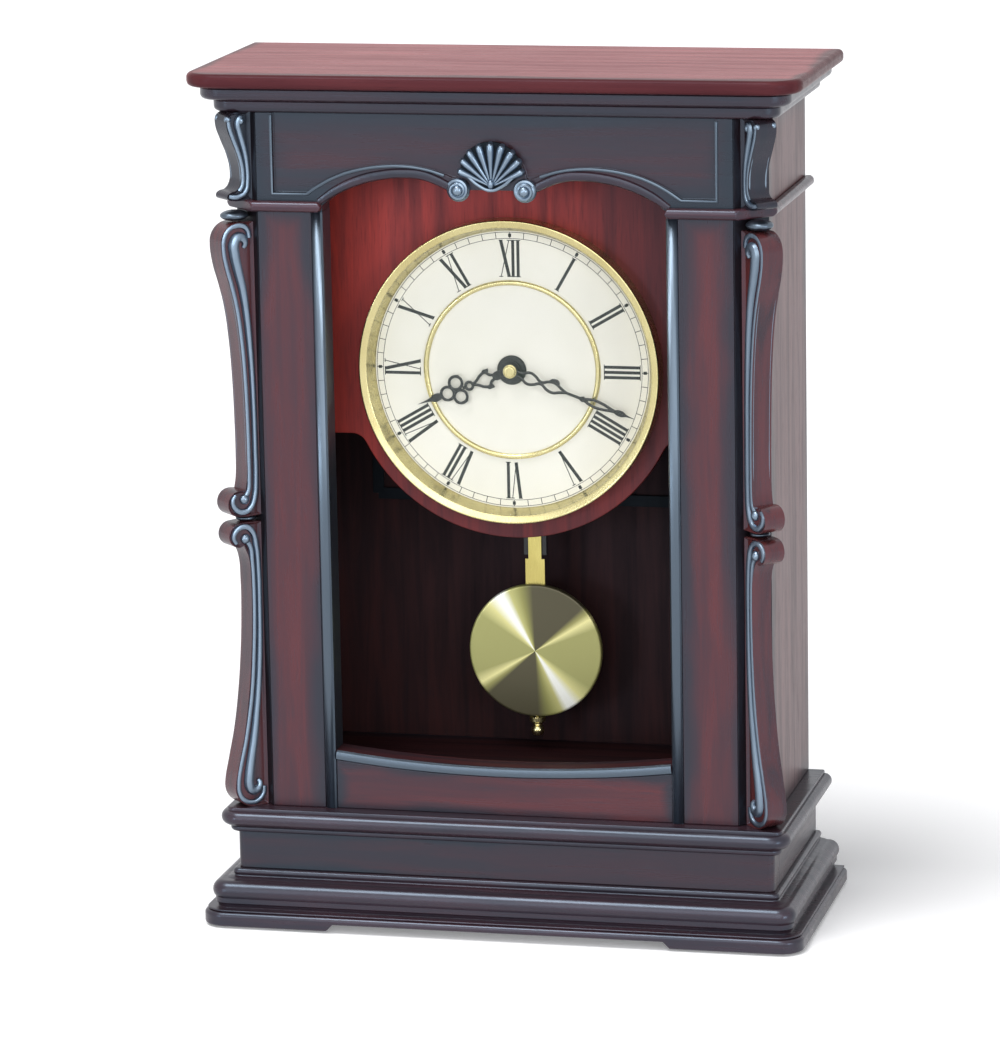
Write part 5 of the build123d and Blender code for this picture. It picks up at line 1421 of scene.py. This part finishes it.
@dataclass
class BackDoor:
    """Back panel, hinged access door, hinges, knob, catch and screws."""

    panel_y: float = 52.0
    screw_x: float = 104.0
    screw_heights: tuple[float, ...] = (62.0, 201.0, 340.0)
    screw_radius: float = 2.6
    stop_width: float = 5.0

    def build(self) -> None:
        """Build and dress the back."""
        for node, body in (("back_panel", "case"), ("back_door", "back_door")):
            # Painted shade: the plywood's stain is darkened for the shade inside the case.
            finish = StainedWood(f"{node}_ply_painted_shade", srgb(50, 25, 23), srgb(31, 17, 17), Grain.UPRIGHT,
                                 roughness=0.6, gloss=0.15)
            dress(node, f"{node}_board", finish, "back_board", 0.3, body)
        for node, body in (("door_hinge_leaves", "case"), ("door_hinge_straps", "back_door")):
            dress(node, f"{node}_plates", DARK_BRASS, "hinge_brass", 0.1, body)
        dress("door_magnet", "door_magnet_part", PLASTIC, "catch_plastic", 0.15)
        dress("door_strike", "door_strike_part", STEEL, "screw_steel", 0.15, "back_door")
        knob = [(0.0, 0.0), (2.6, 0.0), (2.2, 1.4), (2.8, 2.4), *arc((2.6, 3.6), 2.3, -30, 60, 6),
                (1.6, 5.2), (0.0, 5.2)]
        low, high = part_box("door_knob")
        centre = (low + high) / 2 / MM
        Blank.turned(knob, 36).place(move(centre.x, low.y / MM, centre.z) @ REARWARD).piece(
            "door_pull", POLISHED, "back_door", "polished_brass", ["door_knob"])
        self.screws()
        self.stops()

    def stops(self) -> None:
        """Thin stop beads inside the back panel, behind the gap round the door, in near black as
        painted shade.
        """
        low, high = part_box("back_door")
        left, right, foot, top = low.x / MM, high.x / MM, low.z / MM, high.z / MM
        frame_bars = Blank()
        for start, end in (((left, foot), (right, foot)), ((left, top), (right, top)),
                           ((left, foot), (left, top)), ((right, foot), (right, top))):
            frame_bars.bar(start, end, self.stop_width, 0.0, 1.0)
        frame_bars.place(move(0, low.y / MM - 0.1, 0) @ FACING).piece(
            "door_stops", PAINTED_SHADE_BLACK, slot="back_board", soften=0.15)

    def screw(self, radius: float) -> Blank:
        """The round head of a screw."""
        return Blank.turned([(0.0, -0.4), (radius, -0.4), (radius, 0.05), (radius * 0.8, 0.55),
                             (radius * 0.4, 0.8), (0.0, 0.85)], 20)

    def screws(self) -> None:
        """Six screws round the back panel."""
        heads = Blank()
        for x in (-self.screw_x, self.screw_x):
            for z in self.screw_heights:
                heads.add(self.screw(self.screw_radius).place(move(x, self.panel_y, z) @ REARWARD))
        heads.piece("back_screws", STEEL, slot="screw_steel")


@dataclass(frozen=True)
class Lamp:
    """A far, soft lamp: the side that it shines from, its spread in degrees and its strength."""

    name: str
    side: tuple[float, float, float]
    spread: float
    strength: float
    colour: Colour = WHITE

    def hang(self) -> None:
        """Put the lamp in the scene, turned to the clock."""
        light = bpy.data.lights.new(self.name, "SUN")
        light.angle, light.energy, light.color = radians(self.spread), self.strength, self.colour
        holder = bpy.data.objects.new(self.name, light)
        bpy.context.scene.collection.objects.link(holder)
        holder.location = self.side
        holder.rotation_euler = (-Vector(self.side)).to_track_quat("-Z", "Y").to_euler()


@dataclass
class Studio:
    """White floor, soft lamps, pale world and the camera at the photograph's place."""

    azimuth: float = 13.61
    elevation: float = 12.11
    roll: float = -1.05
    distance: float = 2.26066
    target: tuple[float, float, float] = (-0.00892, 0.0, 0.17139)
    lens: float = 189.93
    floor_half: float = 12.0
    floor_colour: Colour = (0.92, 0.92, 0.93)
    floor_glow: float = 0.2
    sky: tuple[float, ...] = (0.97, 0.98, 1.0, 1.0)
    sky_light: float = 0.28
    lamps: tuple[Lamp, ...] = (
        Lamp("key", (-0.22, -0.3, 0.93), 26.0, 2.1),
        Lamp("front", (0.1, -0.95, 0.48), 50.0, 1.25),
        Lamp("side", (0.78, -0.62, 0.1), 20.0, 1.0, COOL_LIGHT),
        Lamp("low", (-0.5, -0.86, 0.07), 12.0, 0.55, COOL_LIGHT),
    )

    def build(self) -> None:
        """Set up the floor, the lamps, the world and the camera."""
        self.floor()
        self.world()
        for lamp in self.lamps:
            lamp.hang()
        self.camera()
        bpy.context.scene.view_settings.view_transform = "Standard"

    def floor(self) -> None:
        """A plain white floor that keeps the clock's shadow."""
        plane = bmesh.new()
        bmesh.ops.create_grid(plane, x_segments=1, y_segments=1, size=self.floor_half)
        mesh = bpy.data.meshes.new("floor")
        plane.to_mesh(mesh)
        plane.free()
        recipe = Recipe("floor_white")
        path = recipe.node("LightPath")
        seen = recipe.sum("MAXIMUM", path.outputs["Is Camera Ray"], path.outputs["Is Glossy Ray"])
        seen = recipe.sum("MAXIMUM", seen, path.outputs["Is Transmission Ray"])
        matt = recipe.node("BsdfDiffuse", {"Color": self.floor_colour})
        level = recipe.sum("MULTIPLY", seen, self.floor_glow)
        glow = recipe.node("Emission", {"Color": WHITE, "Strength": level})
        both = recipe.node("AddShader", {0: matt, 1: glow})
        recipe.node("OutputMaterial", {"Surface": both})
        mesh.materials.append(recipe.material)
        floor = bpy.data.objects.new("floor", mesh)
        bpy.context.scene.collection.objects.link(floor)

    def world(self) -> None:
        """A dim world, which the camera, reflections and glass see as white."""
        world = bpy.data.worlds.new("studio")
        world.use_nodes = True
        nodes, links = world.node_tree.nodes, world.node_tree.links
        ground = nodes["Background"]
        path = nodes.new("ShaderNodeLightPath")
        level = nodes.new("ShaderNodeMapRange")
        level.inputs[3].default_value, level.inputs[4].default_value = self.sky_light, 1.0
        seen = path.outputs["Is Camera Ray"]
        for kind in ("Is Glossy Ray", "Is Transmission Ray"):
            larger = nodes.new("ShaderNodeMath")
            larger.operation = "MAXIMUM"
            links.new(seen, larger.inputs[0])
            links.new(path.outputs[kind], larger.inputs[1])
            seen = larger.outputs[0]
        links.new(seen, level.inputs[0])
        links.new(level.outputs[0], ground.inputs["Strength"])
        ground.inputs["Color"].default_value = self.sky
        bpy.context.scene.world = world

    def camera(self) -> None:
        """The camera at the photograph's angle, with its slight roll."""
        turn, lift, tilt = radians(self.azimuth), radians(self.elevation), radians(self.roll)
        view = Vector((-sin(turn) * cos(lift), cos(turn) * cos(lift), -sin(lift)))
        right = Vector((cos(turn), sin(turn), 0.0))
        up = right.cross(view)
        across = right * cos(tilt) + up * sin(tilt)
        above = up * cos(tilt) - right * sin(tilt)
        lens = bpy.data.cameras.new("camera")
        lens.lens, lens.sensor_width, lens.sensor_fit = self.lens, 36.0, "HORIZONTAL"
        lens.clip_start, lens.clip_end = 0.05, 60.0
        holder = bpy.data.objects.new("camera", lens)
        bpy.context.scene.collection.objects.link(holder)
        turned = Matrix((across, above, -view)).transposed().to_4x4()
        spot = Vector(self.target) - view * self.distance
        holder.matrix_world = Matrix.Translation(spot) @ turned
        bpy.context.scene.camera = holder


def main() -> None:
    """Build the studio and every sub-assembly in order."""
    logging.basicConfig(level=logging.INFO, format="%(message)s")
    for part in (Studio(), MouldedBoards(), CaseFrame(), ScrollBrackets(), FriezeCarving(), Dial(),
                 Hands(), Pendulum(), Movement(), BackDoor()):
        log.info("building %s", type(part).__name__)
        part.build()


if __name__ == "__main__":
    main()
